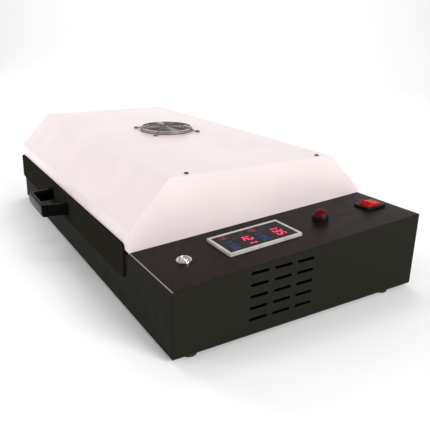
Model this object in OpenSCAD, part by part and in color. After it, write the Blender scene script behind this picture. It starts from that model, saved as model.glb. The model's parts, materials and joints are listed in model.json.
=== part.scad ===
// Bench-top oven that cures printed transfer film: a wide drawer slides under a
// heated hood, and a control bay fills the right-hand end.
// X runs along the front, Y from the front to the back, Z up from the bench.
// The origin is the middle of the outline on the bench.

/* [Body] */
// Length of the body along its front
body_l = 860; // [780:5:960]
// Depth of the body from front wall to back wall
body_d = 490; // [470:5:560]
// Thickness of the black base sheet
base_t = 1.5; // [1.2:0.1:2]
// Height of the base walls beside the drawer, above the underside
wall_h = 98.5; // [97:0.5:104]
// Height of the sill under the drawer, above the underside
sill_h = 60; // [56:0.5:61]
// Width of each cavity between a chamber side and the end of the hood
cavity_w = 26; // [24:1:32]

/* [Control bay] */
// Width of the control strip at the right-hand end
strip_w = 145; // [135:1:170]
// Height of the strip at its front edge
strip_front_h = 105; // [102:0.5:112]
// Height of the strip at its back edge
strip_back_h = 134; // [125:0.5:138]
// Folded bevel along the strip's front and back edges
strip_bevel = 2; // [2:0.5:6]

/* [Hood] */
// Thickness of the white hood sheet
hood_t = 1.2; // [1:0.1:1.2]
// Height of the hood's flat top, above the underside
hood_h = 216.5; // [210:0.5:235]
// Height where the hood's upright skirt turns into the slope
skirt_top_h = 140.5; // [136:0.5:148]
// Shadow gap between the base walls and the hood
hood_gap = 6; // [4:0.5:9]
// Run of the front slope
front_run = 71; // [60:1:85]
// Run of the back slope
back_run = 81; // [70:1:95]

/* [Vents] */
// Number of slots in one column
vent_rows = 5; // [3:1:5]
// Number of columns of slots
vent_cols = 3; // [2:1:4]
// Length of a slot
vent_l = 33; // [24:1:36]
// Height of a slot
vent_h = 5; // [3:0.5:7]
// Spacing of the slot columns
vent_col_pitch = 43.5; // [40:0.5:50]
// Spacing of the slot rows
vent_row_pitch = 19; // [14:0.5:19]
// Distance from the front wall to the middle of the first column
vent_front = 145; // [120:1:170]
// Height of the lowest row of slots
vent_low = 25.7; // [18:0.1:28]

/* [Drawer] */
// Height of the drawer's front plate
plate_h = 59; // [54:0.5:64]
// How far the front plate stands out from the front wall
plate_out = 5; // [4:0.5:8]
// How far the front plate laps over the sill
plate_lap = 4.5; // [3:0.5:6]
// How far the front plate laps over the wall at its right-hand end
plate_side_lap = 9.5; // [6:0.5:14]
// Radius of the front plate's corners
plate_r = 8; // [5:0.5:12]
// Height of the tray's walls
tray_h = 35; // [32:0.5:36]
// Clear space behind the tray
tray_back_gap = 13.5; // [8:0.5:30]
// Thickness of the tray sheet
tray_t = 1.2; // [1:0.1:1.5]
// Side of the rack's square wires
wire_s = 2; // [1.5:0.1:2.5]
// Wires of the rack that run along the drawer's width
rack_long_wires = 14; // [8:1:16]
// Wires of the rack that run from front to back
rack_cross_wires = 20; // [10:1:22]

/* [Runners] */
// Clear space behind the drawer's runners
runner_back_gap = 38.5; // [30:0.5:80]
// Height of a runner's fixed member
runner_h = 35; // [32:0.5:36]
// Width of a closed runner
runner_w = 12.7; // [12.7:0.1:14]

/* [Handle] */
// Length of the handle's grip
grip_l = 112; // [90:1:130]
// Length of the handle where it meets the plate
handle_l = 128; // [118:1:150]
// How far the handle stands out from the plate
handle_out = 52; // [40:1:60]
// Height of the handle
handle_h = 26; // [20:0.5:32]
// Thickness of the grip from front to back
grip_t = 10; // [8:0.5:13]
// Thickness of the handle's arms
arm_t = 13; // [11:0.5:16]

/* [Heaters] */
// Diameter of a heating tube
tube_d = 10; // [8:0.5:12]
// Diameter of the ceramic end caps
cap_d = 16; // [15:0.5:18]
// Height of the tubes above the underside
tube_z = 156; // [150:1:160]

/* [Fan] */
// Side of the square fan frame
fan_s = 120; // [110:1:125]
// Depth of the fan frame
fan_t = 25; // [24:0.5:28]
// Spacing of the fan's screws
fan_pitch = 105; // [98:0.5:106]
// Distance from the right-hand face to the fan's axis
fan_from_right = 510; // [480:1:560]
// Distance from the front wall to the fan's axis
fan_from_front = 250; // [235:1:265]
// Height of the guard above the hood
guard_h = 10; // [8:0.5:13]

/* [Display] */
// Width of the controller's bezel
panel_w = 70.5; // [68:0.5:76]
// Length of the controller's bezel
panel_l = 140; // [138:1:150]
// Height of the bezel above the strip
panel_out = 5; // [4:0.5:7]
// Width of the bezel's rim
panel_rim = 4.5; // [3:0.5:6]
// Distance from the right-hand face to the display's middle
panel_from_right = 79.5; // [75:0.5:88]
// Distance from the front wall to the display's middle
panel_from_front = 191.3; // [180:0.1:200]

/* [Controls] */
// Diameter of the push button's metal ring
button_d = 25; // [24:0.5:30]
// Diameter of the push button's cap
cap_button_d = 16; // [14:0.5:18]
// Distance from the right-hand face to the push button's axis
button_from_right = 73; // [60:1:85]
// Distance from the front wall to the push button's axis
button_from_front = 58; // [48:1:65]
// Diameter of the lamp's collar
lamp_d = 28; // [25:0.5:31]
// Distance from the right-hand face to the lamp's axis
lamp_from_right = 79; // [70:1:88]
// Distance from the front wall to the lamp's axis
lamp_from_front = 331; // [325:1:345]
// Width of the power switch's bezel
switch_w = 36; // [34:0.5:40]
// Length of the power switch's bezel
switch_l = 44; // [42:0.5:46]
// Distance from the right-hand face to the switch's middle
switch_from_right = 76.5; // [70:0.5:84]
// Distance from the back wall to the switch's middle
switch_from_back = 41; // [40:1:60]
// Swing of the power switch in degrees
switch_swing = 24; // [14:1:24]

/* [Feet] */
// Diameter of a rubber foot
foot_d = 24; // [20:1:30]
// Height of a rubber foot
foot_h = 7; // [6:0.5:12]
// Distance from an end face to a foot's axis
foot_side = 14; // [13:1:40]
// Distance from the front wall to a front foot's axis
foot_front = 34; // [20:1:50]
// Distance from the back wall to a rear foot's axis
foot_back = 62; // [30:1:80]

/* [Hidden] */
$fn = 48;
over = 1;         // overrun of every cut
gap = 0.3;        // clearance between neighbours
fit = 0.05;       // radial clearance of a running fit
hex = 6;          // sides of a nut
seam = 2;         // how far a hidden face stands back from the edge beside it

// Inlet on the back wall
inlet_flange_t = 3;
inlet_w = 48;
inlet_h = 28;
inlet_body_w = 30;
inlet_body_h = 22;
inlet_body_d = 26;
inlet_from_right = 70;
inlet_z = 50;
socket_w = 24.5;
socket_h = 17;
socket_d = 16;
blade_w = 2;
blade_h = 4;
blade_gap = 14;
tab_w = 6.3;
tab_t = 0.8;
tab_l = 8;

// Frame of the whole body
xl = -body_l / 2;
xr = body_l / 2;
xs = xr - strip_w;
front_reach = plate_out + handle_out;
yf = (front_reach - body_d - inlet_flange_t) / 2;
z0 = foot_h;
skirt_low = wall_h + hood_gap;
strip_tan = (strip_back_h - strip_front_h) / body_d;
strip_a = atan(strip_tan);
front_a = atan((hood_h - skirt_top_h) / front_run);
back_a = atan((hood_h - skirt_top_h) / back_run);
side_t = 1.2;
cx1 = xl + cavity_w;      // left side of the chamber
cx2 = xs - cavity_w;      // right side of the chamber

// Drawer and runners
lift = 3;
runner_set_back = 6;
tray_z = sill_h + lift;
runner_z = tray_z + tray_h / 2;
runner_y = base_t + runner_set_back;
runner_t = 1.2;
tx1 = cx1 + runner_w;
tx2 = cx2 - runner_w;
plate_t = 1.5;
plate_back = 0.5;
plate_x1 = xl + seam;
plate_x2 = cx2 + plate_side_lap;
plate_z = sill_h - plate_lap;
handle_x = (plate_x1 + plate_x2) / 2;
handle_z = plate_z + plate_h / 2;
handle_screw_pitch = handle_l - arm_t;
screw_d = 4;
screw_head_d = 8;
screw_head_h = 2.4;
handle_screw_l = 14;
rack_gap = 0.5;

// Layers of the chamber, measured in from the hood's skin
liner_t = 1;
liner_front = 22;
liner_back = 44;
liner_slope = 26;
fan_seat = 1.8;
blanket_t = 12;
blanket_top = hood_t + fan_t + fan_seat;
liner_top = blanket_top + blanket_t;
throat_rim = 10;
throat_d = fan_s - 2 * throat_rim;
shield_z = 50;
shield_t = 1.2;
shield_y = body_d - liner_back;
tray_d = shield_y - tray_back_gap + plate_out - plate_t;
runner_l = shield_y - runner_back_gap - runner_y;
switch_from_front = body_d - switch_from_back;

// Heaters
cap_l = 22;
cap_out = 8;
cap_flange = 2;
cap_flange_d = cap_d + 2 * cap_flange;
cap_flange_t = 2;
cap_socket = 10;
tube_n = 5;
tube_front = 84;
tube_from_back = 94;
tube_back = body_d - tube_from_back;
tube_step = (tube_back - tube_front) / (tube_n - 1);
bus_w = 10;
bus_t = 1;
bus_nut_d = 7;
bus_nut_h = 2;
probe_y = tube_front + 1.5 * tube_step;
probe_up = 13;
probe_z = tube_z + probe_up;
probe_d = 5;
probe_l = 70;
probe_hex_d = 12;
probe_hex_t = 5;
grommet_y = 330;
grommet_down = 16.5;
grommet_z = hood_h - grommet_down;
grommet_hole_d = 16;
grommet_d = 22;
grommet_bore_d = 11;
grommet_lip = 2;

// Fan
fan_x = xr - fan_from_right;
fan_wall = 2;
fan_r = fan_s / 2 - fan_wall;
hub_d = 42;
strut_t = 4;
strut_w = 5;
shaft_d = 5;
bearing_d = 11;
bearing_l = 14;
blade_n = 7;
blade_t = 1.6;
blade_pitch_a = 38;
blade_len = 19;
rotor_z = 6;
rotor_h = 13;
rotor_gap = 2;
guard_wire_d = 2.2;
weld = 0.3;
ring_n = 7;
ring_low_in = 1;
ring_low_d = fan_s - 2 * ring_low_in;
ring_top_in = 4;
ring_top_d = ring_low_d - 2 * ring_top_in;
ring_inner_d = 18;
eye_d = 7.4;
fan_screw_l = 16;

// Controller
case_side = 6;
case_d = 50;
face_down = 1;
film_t = 0.35;
digit_w = 9.5;
digit_h = 17.5;
digit_pitch = 12.5;
seg_w = 2;
upper_digits_y = 43;
lower_digits_y = -15;
digits_x = -9;
orange_x = -21.5;
orange_w = 15;
blue_x = 9;
blue_w = 34;
upper_keys_y = 9;
lower_keys_y = -48;
key_h = 13;
key_gap = 2;
blue_key_n = 3;
segment_shares = [
  [0, 1], [0.5, 0.5], [0.5, -0.5], [0, -1], [-0.5, -0.5], [-0.5, 0.5], [0, 0]];
segment_digits = [
  [0, 1, 2, 3, 4, 5], [1, 2], [0, 1, 6, 4, 3], [0, 1, 2, 3, 6], [5, 6, 1, 2],
  [0, 5, 6, 2, 3], [0, 5, 6, 4, 2, 3], [0, 1, 2], [0, 1, 2, 3, 4, 5, 6],
  [0, 1, 2, 3, 5, 6]];

// Push button and lamp
barrel_d = 21.8;
barrel_hole_d = 22.2;
barrel_l = 30;
button_rim = 4;
button_well = 14;
button_stem = 9;
button_proud = 0.8;
nut_d = 28;
nut_t = 4;
lamp_collar_h = 10;
lamp_lens_in = 1.5;
lamp_lens_d = lamp_d - 2 * lamp_lens_in;
lamp_lens_h = 9;
lamp_seat = 2;

// Power switch
switch_rim = 4.5;
switch_lap = 4;
switch_end_lap = 2.5;
switch_hole_w = switch_w - 2 * switch_lap;
switch_hole_l = switch_l - 2 * switch_end_lap;
switch_body_h = 27;
switch_wall = 2;
rocker_pivot = -2;
rocker_pin_d = 3;
rocker_half = 14;
rocker_top = 10;
rocker_dip = 6;
rocker_clear = 2.4;
rocker_keel = 9;
rocker_well = 14;

// Parts on the floor of the control bay
sink_w = 60;
sink_l = 90;
sink_h = 32;
sink_base = 6;
fin_n = 9;
fin_t = 1.6;
sink_from_right = 82;
sink_from_front = 150;
relay_w = 44;
relay_l = 58;
relay_h = 14;
block_w = 26;
block_l = 84;
block_h = 22;
block_n = 6;
block_from_right = 60;
block_from_front = 330;
block_notch = 6;
block_pitch = block_l / block_n;
wire_d = 3;
wire_sides = 8;
bend_r = 8;
bend_n = 3;
bend_share = 0.45;
side_shares = [0.36, 0.48, 0.8];   // a direction that no wire runs along

// Shape helpers

// Draws its children with Y from the front wall and Z from the underside
module in_body() {
  translate([0, yf, z0]) children();
}

// Extrudes an outline in Y and Z from x1 to x2
module along_x(x1, x2) {
  translate([x1, 0, 0]) rotate([90, 0, 90]) linear_extrude(x2 - x1) children();
}

// Extrudes an outline in X and Z from y1 to y2
module along_y(y1, y2) {
  translate([0, y2, 0]) rotate([90, 0, 0]) linear_extrude(y2 - y1) children();
}

// Box between two corners
module block(low, high) {
  translate(low) cube(high - low);
}

// Rectangle with round corners, centred
module round_rect(w, l, r) {
  square([w - 2 * r, l], center = true);
  square([w, l - 2 * r], center = true);
  for (sx = [-1, 1], sy = [-1, 1])
    translate([sx * (w / 2 - r), sy * (l / 2 - r)]) circle(r);
}

// Stands children on the sloping strip, Z square to it
module on_strip(from_right, from_front) {
  in_body()
    translate([xr - from_right, from_front, strip_z(from_front)])
      rotate([strip_a, 0, 0]) children();
}

function strip_z(y) = strip_front_h + y * strip_tan;

// Outline of the hood, moved in by its own amount at each face
function hood_points(front, back, slope, top, low) = [
  [front, low],
  [front, skirt_top_h + (front * sin(front_a) - slope) / cos(front_a)],
  [(slope + (hood_h - top - skirt_top_h) * cos(front_a)) / sin(front_a), hood_h - top],
  [body_d - (slope + (hood_h - top - skirt_top_h) * cos(back_a)) / sin(back_a), hood_h - top],
  [body_d - back, skirt_top_h + (back * sin(back_a) - slope) / cos(back_a)],
  [body_d - back, low]];

module hood_outline(inset, low) {
  polygon(hood_points(inset, inset, inset, inset, low));
}

function tube_y(i) = tube_front + i * tube_step;

// Places children at the four corners of a square
module at_corners(pitch) {
  for (sx = [-1, 1], sy = [-1, 1])
    translate([sx * pitch / 2, sy * pitch / 2, 0]) children();
}

// Pan-head screw with its head on Z = 0 and its shank downwards
module pan_screw(length) {
  cylinder(d = screw_head_d, h = screw_head_h);
  translate([0, 0, -length]) cylinder(d = screw_d, h = length + screw_head_h / 2);
}

// Cut for a screw through a sheet that lies below Z = 0
module screw_hole(depth) {
  translate([0, 0, -depth - over]) cylinder(d = screw_d + 2 * gap, h = depth + 2 * over);
}

// Base and covers

module base_tray() {
  color("#1c1b1a") in_body() difference() {
    union() {
      block([xl, 0, 0], [xr - base_t, body_d, base_t]);
      block([xl, 0, 0], [xl + base_t, body_d, wall_h]);
      block([xl, 0, 0], [cx1, base_t, wall_h]);
      block([xl, 0, 0], [xr - base_t, base_t, sill_h]);
      block([cx2, 0, 0], [xs, base_t, wall_h]);
      block([xs, 0, 0], [xr - base_t, base_t, strip_front_h - strip_bevel]);
      block([xl, body_d - base_t, 0], [xs, body_d, wall_h]);
      block([xs, body_d - base_t, 0], [xr - base_t, body_d, strip_back_h - strip_bevel]);
    }
    translate([xr - inlet_from_right, body_d, inlet_z])
      cube([inlet_body_w + 2 * gap, 2 * base_t + over, inlet_body_h + 2 * gap], center = true);
    rear_screw_places() screw_hole(base_t);
    foot_places() translate([0, 0, base_t]) screw_hole(base_t);
  }
}

// Rear screws, Z pointing out of the back wall
screw_from_end = 13;
screw_from_edge = 8;
rear_screw_l = 8;
rear_screw_z = wall_h - screw_from_edge;
cover_screw_z = strip_back_h - strip_bevel - screw_from_edge;
hood_rear_z = skirt_low + screw_from_edge;

module rear_screw_places() {
  for (x = [xl + screw_from_end, xs - screw_from_end])
    translate([x, body_d, rear_screw_z]) rotate([-90, 0, 0]) children();
  for (x = [xs + screw_from_end, xr - screw_from_end])
    translate([x, body_d, cover_screw_z]) rotate([-90, 0, 0]) children();
}

module hood_rear_places() {
  for (x = [xl + screw_from_end, xs - screw_from_end])
    translate([x, body_d, hood_rear_z]) rotate([-90, 0, 0]) children();
}

module rear_screws() {
  color("#8c8c8c") in_body() {
    rear_screw_places() pan_screw(rear_screw_l);
    hood_rear_places() pan_screw(rear_screw_l);
  }
}

cover_tongue_h = 14;

module control_cover() {
  lip = strip_front_h - strip_bevel;
  back_lip = strip_back_h - strip_bevel;
  inner = strip_bevel + base_t / 2;
  color("#262322") in_body() difference() {
    union() {
      along_x(xs, xr - base_t) polygon([
        [0, lip], [strip_bevel, strip_z(strip_bevel)],
        [body_d - strip_bevel, strip_z(body_d - strip_bevel)], [body_d, back_lip],
        [body_d - base_t, back_lip], [body_d - inner, strip_z(body_d - strip_bevel) - base_t],
        [inner, strip_z(strip_bevel) - base_t], [base_t, lip]]);
      along_x(xr - base_t, xr) polygon([
        [0, 0], [body_d, 0], [body_d, back_lip],
        [body_d - strip_bevel, strip_z(body_d - strip_bevel)],
        [strip_bevel, strip_z(strip_bevel)], [0, lip]]);
      block([xs, base_t, lip - cover_tongue_h], [xr - base_t, 2 * base_t, lip + base_t]);
      block([xs, body_d - 2 * base_t, back_lip - cover_tongue_h],
        [xr - base_t, body_d - base_t, back_lip + base_t]);
      along_x(xs, xs + base_t) polygon([
        [2 * base_t, strip_z(0) - cover_tongue_h],
        [body_d - 2 * base_t, strip_z(body_d) - cover_tongue_h],
        [body_d - 2 * base_t, strip_z(body_d) - 2 * base_t],
        [body_d - inner, strip_z(body_d - inner) - base_t / 2],
        [inner, strip_z(inner) - base_t / 2], [2 * base_t, strip_z(0) - 2 * base_t]]);
    }
    for (r = [0:vent_rows - 1], c = [0:vent_cols - 1])
      translate([xr, vent_front + c * vent_col_pitch, vent_low + r * vent_row_pitch])
        rotate([90, 0, 90]) linear_extrude(2 * (base_t + over), center = true) {
          square([vent_l - vent_h, vent_h], center = true);
          for (s = [-1, 1]) translate([s * (vent_l - vent_h) / 2, 0]) circle(d = vent_h);
        }
    rear_screw_places() screw_hole(2 * base_t);
    translate([0, -yf, -z0]) strip_cutouts();
  }
}

module strip_cutouts() {
  deep = 2 * base_t + over;
  on_strip(panel_from_right, panel_from_front)
    cube([panel_w - case_side + 2 * gap, panel_l - case_side + 2 * gap, 2 * deep], center = true);
  on_strip(button_from_right, button_from_front)
    cylinder(d = barrel_hole_d, h = 2 * deep, center = true);
  on_strip(lamp_from_right, lamp_from_front)
    cylinder(d = barrel_hole_d, h = 2 * deep, center = true);
  on_strip(switch_from_right, switch_from_front)
    cube([switch_hole_w + 2 * gap, switch_hole_l + 2 * gap, 2 * deep], center = true);
}

// Hood

module hood_wrap() {
  color("#f4f2f0") in_body() difference() {
    along_x(xl, xs) difference() {
      hood_outline(0, skirt_low);
      hood_outline(hood_t, skirt_low - over);
    }
    translate([fan_x, fan_from_front, hood_h]) {
      translate([0, 0, -hood_t - over]) cylinder(r = fan_r, h = hood_t + 2 * over);
      at_corners(fan_pitch) screw_hole(hood_t);
    }
    hood_screw_places() screw_hole(hood_t);
    hood_rear_places() screw_hole(hood_t);
  }
}

end_flange = 20;
hood_screw_shares = [0.22, 0.785];
hood_screw_l = 6;

module hood_screw_places() {
  for (share = hood_screw_shares)
    translate([xs - screw_from_end, body_d * share, hood_h]) children();
}

// End of the hood at X = 0, its flange towards +X
module hood_end_form() {
  along_x(0, hood_t) hood_outline(hood_t, skirt_low);
  along_x(0, hood_t + end_flange) difference() {
    hood_outline(hood_t, skirt_low);
    hood_outline(2 * hood_t, skirt_low - over);
  }
}

module hood_end_left() {
  color("#f0eeec") in_body() difference() {
    translate([xl, 0, 0]) hood_end_form();
    hood_rear_places() screw_hole(2 * hood_t);
  }
}

module hood_end_right() {
  color("#f0eeec") in_body() difference() {
    translate([xs, 0, 0]) mirror([1, 0, 0]) hood_end_form();
    hood_rear_places() screw_hole(2 * hood_t);
    hood_screw_places() screw_hole(2 * hood_t);
  }
}

module hood_screws() {
  color("#77736f") in_body() hood_screw_places() pan_screw(hood_screw_l);
}

// Chamber

plate_flange = 20;
flange_in = 2 * hood_t + gap;     // seats the plates inside the hood's end flanges

// Side of the chamber at X = 0, its flange towards +X
module side_plate_form() {
  difference() {
    union() {
      along_x(0, side_t) side_outline(0);
      along_x(0, plate_flange) difference() {
        side_outline(0);
        side_outline(side_t);
      }
    }
    for (i = [0:tube_n - 1])
      translate([0, tube_y(i), tube_z]) rotate([0, 90, 0])
        cylinder(d = cap_d + 2 * fit, h = 3 * side_t, center = true);
    translate([0, grommet_y, grommet_z]) rotate([0, 90, 0])
      cylinder(d = grommet_hole_d, h = 3 * side_t, center = true);
  }
}

// Outline of the plate, moved in by a sheet's thickness
module side_outline(sheet) {
  low = base_t + sheet;
  high = flange_in + sheet;
  translate([low, low]) square([body_d - 2 * low, wall_h - sheet - low]);
  polygon(hood_points(high, high, high, high, wall_h - sheet - over));
}

module side_plate_left() {
  color("#b9b9b6") in_body() difference() {
    translate([cx1, 0, 0]) mirror([1, 0, 0]) side_plate_form();
    foot_places() translate([0, 0, base_t + side_t]) screw_hole(side_t);
    rear_screw_places() screw_hole(rear_screw_l);
    hood_rear_places() screw_hole(rear_screw_l);
  }
}

module side_plate_right() {
  color("#b9b9b6") in_body() difference() {
    translate([cx2, 0, 0]) side_plate_form();
    rear_screw_places() screw_hole(rear_screw_l);
    hood_rear_places() screw_hole(rear_screw_l);
    hood_screw_places() screw_hole(hood_screw_l);
    translate([cx2, probe_y, probe_z]) rotate([0, 90, 0])
      cylinder(d = probe_d + 2 * gap, h = 3 * side_t, center = true);
  }
}

module liner_outline(grow, low) {
  polygon(hood_points(liner_front + grow, liner_back + grow, liner_slope + grow,
    liner_top + grow, low));
}

module throat() {
  translate([fan_x, fan_from_front, hood_h - liner_top - liner_t - over])
    cylinder(d = throat_d, h = liner_t + blanket_t + 2 * over);
}

module chamber_liner() {
  color("#c9c9c6") in_body() difference() {
    along_x(cx1, cx2) difference() {
      liner_outline(0, skirt_low);
      liner_outline(liner_t, skirt_low - over);
    }
    throat();
  }
}

module hood_insulation() {
  color("#d8cfa4") in_body() difference() {
    along_x(cx1, cx2) difference() {
      liner_outline(-blanket_t, skirt_low);
      liner_outline(0, skirt_low - over);
    }
    throat();
  }
}

module floor_shield() {
  color("#c2c2bf") in_body() {
    block([cx1, base_t, shield_z], [cx2, shield_y + shield_t, shield_z + shield_t]);
    block([cx1, shield_y, shield_z], [cx2, shield_y + shield_t, skirt_low]);
  }
}

module floor_insulation() {
  color("#d8cfa4") in_body() {
    block([cx1, base_t, base_t], [cx2, body_d - base_t, shield_z]);
    block([cx1, shield_y + shield_t, shield_z - over], [cx2, body_d - base_t, wall_h]);
  }
}

module heater_tube(i) {
  seat = cap_l - cap_out - cap_socket;
  color("#e8b48a") in_body() translate([cx1 + seat, tube_y(i), tube_z])
    rotate([0, 90, 0]) cylinder(d = tube_d, h = cx2 - cx1 - 2 * seat);
}

// One ceramic cap, X pointing into the chamber from the side plate
module heater_cap() {
  rotate([0, 90, 0]) difference() {
    union() {
      translate([0, 0, -cap_out]) cylinder(d = cap_d, h = cap_l);
      translate([0, 0, -side_t - cap_flange_t]) cylinder(d = cap_flange_d, h = cap_flange_t);
    }
    translate([0, 0, cap_l - cap_out - cap_socket])
      cylinder(d = tube_d + 2 * fit, h = cap_socket + over);
  }
}

module heater_caps() {
  color("#e9e4d8") in_body() for (i = [0:tube_n - 1]) {
    translate([cx1, tube_y(i), tube_z]) heater_cap();
    translate([cx2, tube_y(i), tube_z]) mirror([1, 0, 0]) heater_cap();
  }
}

// Copper strip with a nut on each cap's stud
module busbar() {
  block([-cap_out - bus_t, tube_front - bus_w, -bus_w / 2],
    [-cap_out, tube_back + bus_w, bus_w / 2]);
  for (i = [0:tube_n - 1]) translate([-cap_out - bus_t - bus_nut_h, tube_y(i), 0]) rotate([0, 90, 0])
    cylinder(d = bus_nut_d, h = bus_nut_h + bus_t / 2, $fn = hex);
}

module busbars() {
  color("#b56a3a") in_body() {
    translate([cx1, 0, tube_z]) busbar();
    translate([cx2, 0, tube_z]) mirror([1, 0, 0]) busbar();
  }
}

module thermocouple() {
  color("#c8c8c8") in_body() translate([cx2, probe_y, probe_z]) rotate([0, -90, 0]) {
    translate([0, 0, -side_t - probe_hex_t]) cylinder(d = probe_d, h = probe_l);
    translate([0, 0, -side_t - probe_hex_t]) cylinder(d = probe_hex_d, h = probe_hex_t, $fn = hex);
  }
}

// Fan

module at_fan(z) {
  in_body() translate([fan_x, fan_from_front, z]) children();
}

module fan_frame() {
  corner_r = 4;
  color("#222222") at_fan(hood_h - hood_t - fan_t) difference() {
    union() {
      difference() {
        linear_extrude(fan_t) round_rect(fan_s, fan_s, corner_r);
        translate([0, 0, -over]) cylinder(r = fan_r, h = fan_t + 2 * over);
      }
      cylinder(d = hub_d, h = strut_t);
      intersection() {
        cylinder(r = fan_r + over, h = strut_t);
        for (a = [0, 90]) rotate([0, 0, a])
          translate([0, 0, strut_t / 2]) cube([fan_s, strut_w, strut_t], center = true);
      }
      cylinder(d = bearing_d, h = bearing_l);
    }
    translate([0, 0, strut_t / 2]) cylinder(d = shaft_d + 2 * fit, h = bearing_l);
    at_corners(fan_pitch) translate([0, 0, -over])
      cylinder(d = screw_d + 2 * fit, h = fan_t + 2 * over);
  }
}

module fan_rotor() {
  cup_t = 1.6;
  cup_r = hub_d / 2;
  color("#2b2b2b") at_fan(hood_h - hood_t - fan_t) {
    difference() {
      translate([0, 0, rotor_z]) cylinder(r = cup_r, h = rotor_h);
      translate([0, 0, rotor_z - over]) cylinder(r = cup_r - cup_t, h = rotor_h - cup_t + over);
    }
    translate([0, 0, strut_t]) cylinder(d = shaft_d, h = rotor_z + rotor_h - strut_t);
    for (i = [0:blade_n - 1]) rotate([0, 0, i * 360 / blade_n]) intersection() {
      difference() {
        translate([0, 0, rotor_z]) cylinder(r = fan_r - rotor_gap, h = rotor_h);
        translate([0, 0, rotor_z - over]) cylinder(r = cup_r - cup_t / 2, h = rotor_h + 2 * over);
      }
      translate([hub_d / 4 + fan_r / 2, 0, rotor_z + rotor_h / 2]) rotate([blade_pitch_a, 0, 0])
        cube([fan_r - hub_d / 2 + 2 * cup_t, blade_len, blade_t], center = true);
    }
  }
}

module wire_ring(d, z) {
  translate([0, 0, z]) rotate_extrude() translate([d / 2, 0]) circle(d = guard_wire_d);
}

// Straight wire between two points
module wire_run(a, b, d) {
  v = b - a;
  len = norm(v);
  translate(a) rotate([0, acos(v[2] / len), atan2(v[1], v[0])]) cylinder(d = d, h = len);
}

module fan_guard() {
  wire_r = guard_wire_d / 2;
  top_z = guard_h - wire_r;
  leg_r = fan_pitch / 2 * sqrt(2) - eye_d / 2;
  ring_step = (ring_top_d - ring_inner_d) / (ring_n - 1);
  color("#b8b8b6") at_fan(hood_h) {
    for (i = [0:ring_n - 1]) wire_ring(ring_inner_d + i * ring_step, top_z);
    wire_ring(ring_low_d, guard_h / 2);
    for (a = [45:90:315]) rotate([0, 0, a]) {
      wire_run([ring_inner_d / 2, 0, top_z], [ring_top_d / 2, 0, top_z], guard_wire_d);
      wire_run([ring_top_d / 2, 0, top_z], [ring_low_d / 2, 0, guard_h / 2], guard_wire_d);
      wire_run([ring_low_d / 2, 0, guard_h / 2], [leg_r, 0, wire_r], guard_wire_d);
      for (p = [
        [ring_top_d / 2, 0, top_z], [ring_low_d / 2, 0, guard_h / 2], [leg_r, 0, wire_r + weld / 2]])
        translate(p) sphere(d = guard_wire_d + weld);
      translate([leg_r + eye_d / 2, 0, 0]) wire_ring(eye_d, wire_r);
    }
  }
}

module fan_screws() {
  color("#9a9a98") at_fan(hood_h + guard_wire_d) at_corners(fan_pitch) pan_screw(fan_screw_l);
}

// Controller

case_w = panel_w - case_side;
case_l = panel_l - case_side;
face_w = panel_w - 2 * panel_rim;
face_l = panel_l - 2 * panel_rim;
face_z = panel_out - face_down;

module at_panel() {
  on_strip(panel_from_right, panel_from_front) children();
}

module controller_case() {
  color("#2a2a2c") at_panel()
    translate([-case_w / 2, -case_l / 2, -case_d]) cube([case_w, case_l, case_d]);
}

module controller_bezel() {
  corner_r = 2;
  color("#b9b8b4") at_panel() difference() {
    linear_extrude(panel_out) round_rect(panel_w, panel_l, corner_r);
    translate([0, 0, -over]) linear_extrude(panel_out + 2 * over)
      square([face_w, face_l], center = true);
  }
}

module controller_face() {
  color("#1f1f24") at_panel() linear_extrude(face_z)
    square([face_w - 2 * fit, face_l - 2 * fit], center = true);
}

// One seven-segment figure, centred
module figure(n) {
  run = digit_h / 2 - seg_w;
  for (s = segment_digits[n]) let (p = segment_shares[s])
    translate([p[0] * (digit_w - seg_w), p[1] * (digit_h - seg_w) / 2])
      square(p[0] == 0 ? [digit_w - 2 * seg_w, seg_w] : [seg_w, run], center = true);
}

// A row of figures, the first one at X = digits_x
module figures(row, y) {
  for (i = [0:len(row) - 1]) translate([digits_x + i * digit_pitch, y]) figure(row[i]);
}

module display_digits() {
  color("#e8304a") at_panel() translate([0, 0, face_z]) linear_extrude(film_t) {
    figures([1, 3, 5], upper_digits_y);
    figures([1, 2, 0], lower_digits_y);
  }
}

module controller_keys() {
  key_w = (blue_w - (blue_key_n - 1) * key_gap) / blue_key_n;
  color("#3a4a70") at_panel() translate([0, 0, face_z]) linear_extrude(film_t)
    for (y = [upper_keys_y, lower_keys_y]) {
      translate([orange_x, y]) square([orange_w - key_gap, key_h], center = true);
      for (i = [0:blue_key_n - 1])
        translate([blue_x + (i - (blue_key_n - 1) / 2) * (key_w + key_gap), y])
          square([key_w, key_h], center = true);
    }
}

// Push button and lamp

module at_button() {
  on_strip(button_from_right, button_from_front) children();
}

module button_housing() {
  lead = 1;
  color("#c4c2bf") at_button() difference() {
    union() {
      cylinder(d = button_d, h = button_rim - lead);
      translate([0, 0, button_rim - lead])
        cylinder(d1 = button_d, d2 = button_d - 2 * lead, h = lead, $fn = 96);
      translate([0, 0, -barrel_l]) cylinder(d = barrel_d, h = barrel_l + lead);
    }
    translate([0, 0, -button_well])
      cylinder(d = cap_button_d + 2 * fit, h = button_well + button_rim + over);
  }
}

module button_cap() {
  dish_r = 40;
  dish_d = 0.6;
  top = button_rim + button_proud;
  color("#d8d6d2") at_button() difference() {
    translate([0, 0, -button_stem]) cylinder(d = cap_button_d, h = button_stem + top);
    translate([0, 0, top + dish_r - dish_d]) sphere(r = dish_r);
  }
}

module panel_nut() {
  translate([0, 0, -base_t - nut_t - fit]) difference() {
    cylinder(d = nut_d, h = nut_t, $fn = hex);
    translate([0, 0, -over]) cylinder(d = barrel_d + 2 * fit, h = nut_t + 2 * over);
  }
}

module panel_nuts() {
  color("#a9a7a3") {
    at_button() panel_nut();
    at_lamp() panel_nut();
  }
}

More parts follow.
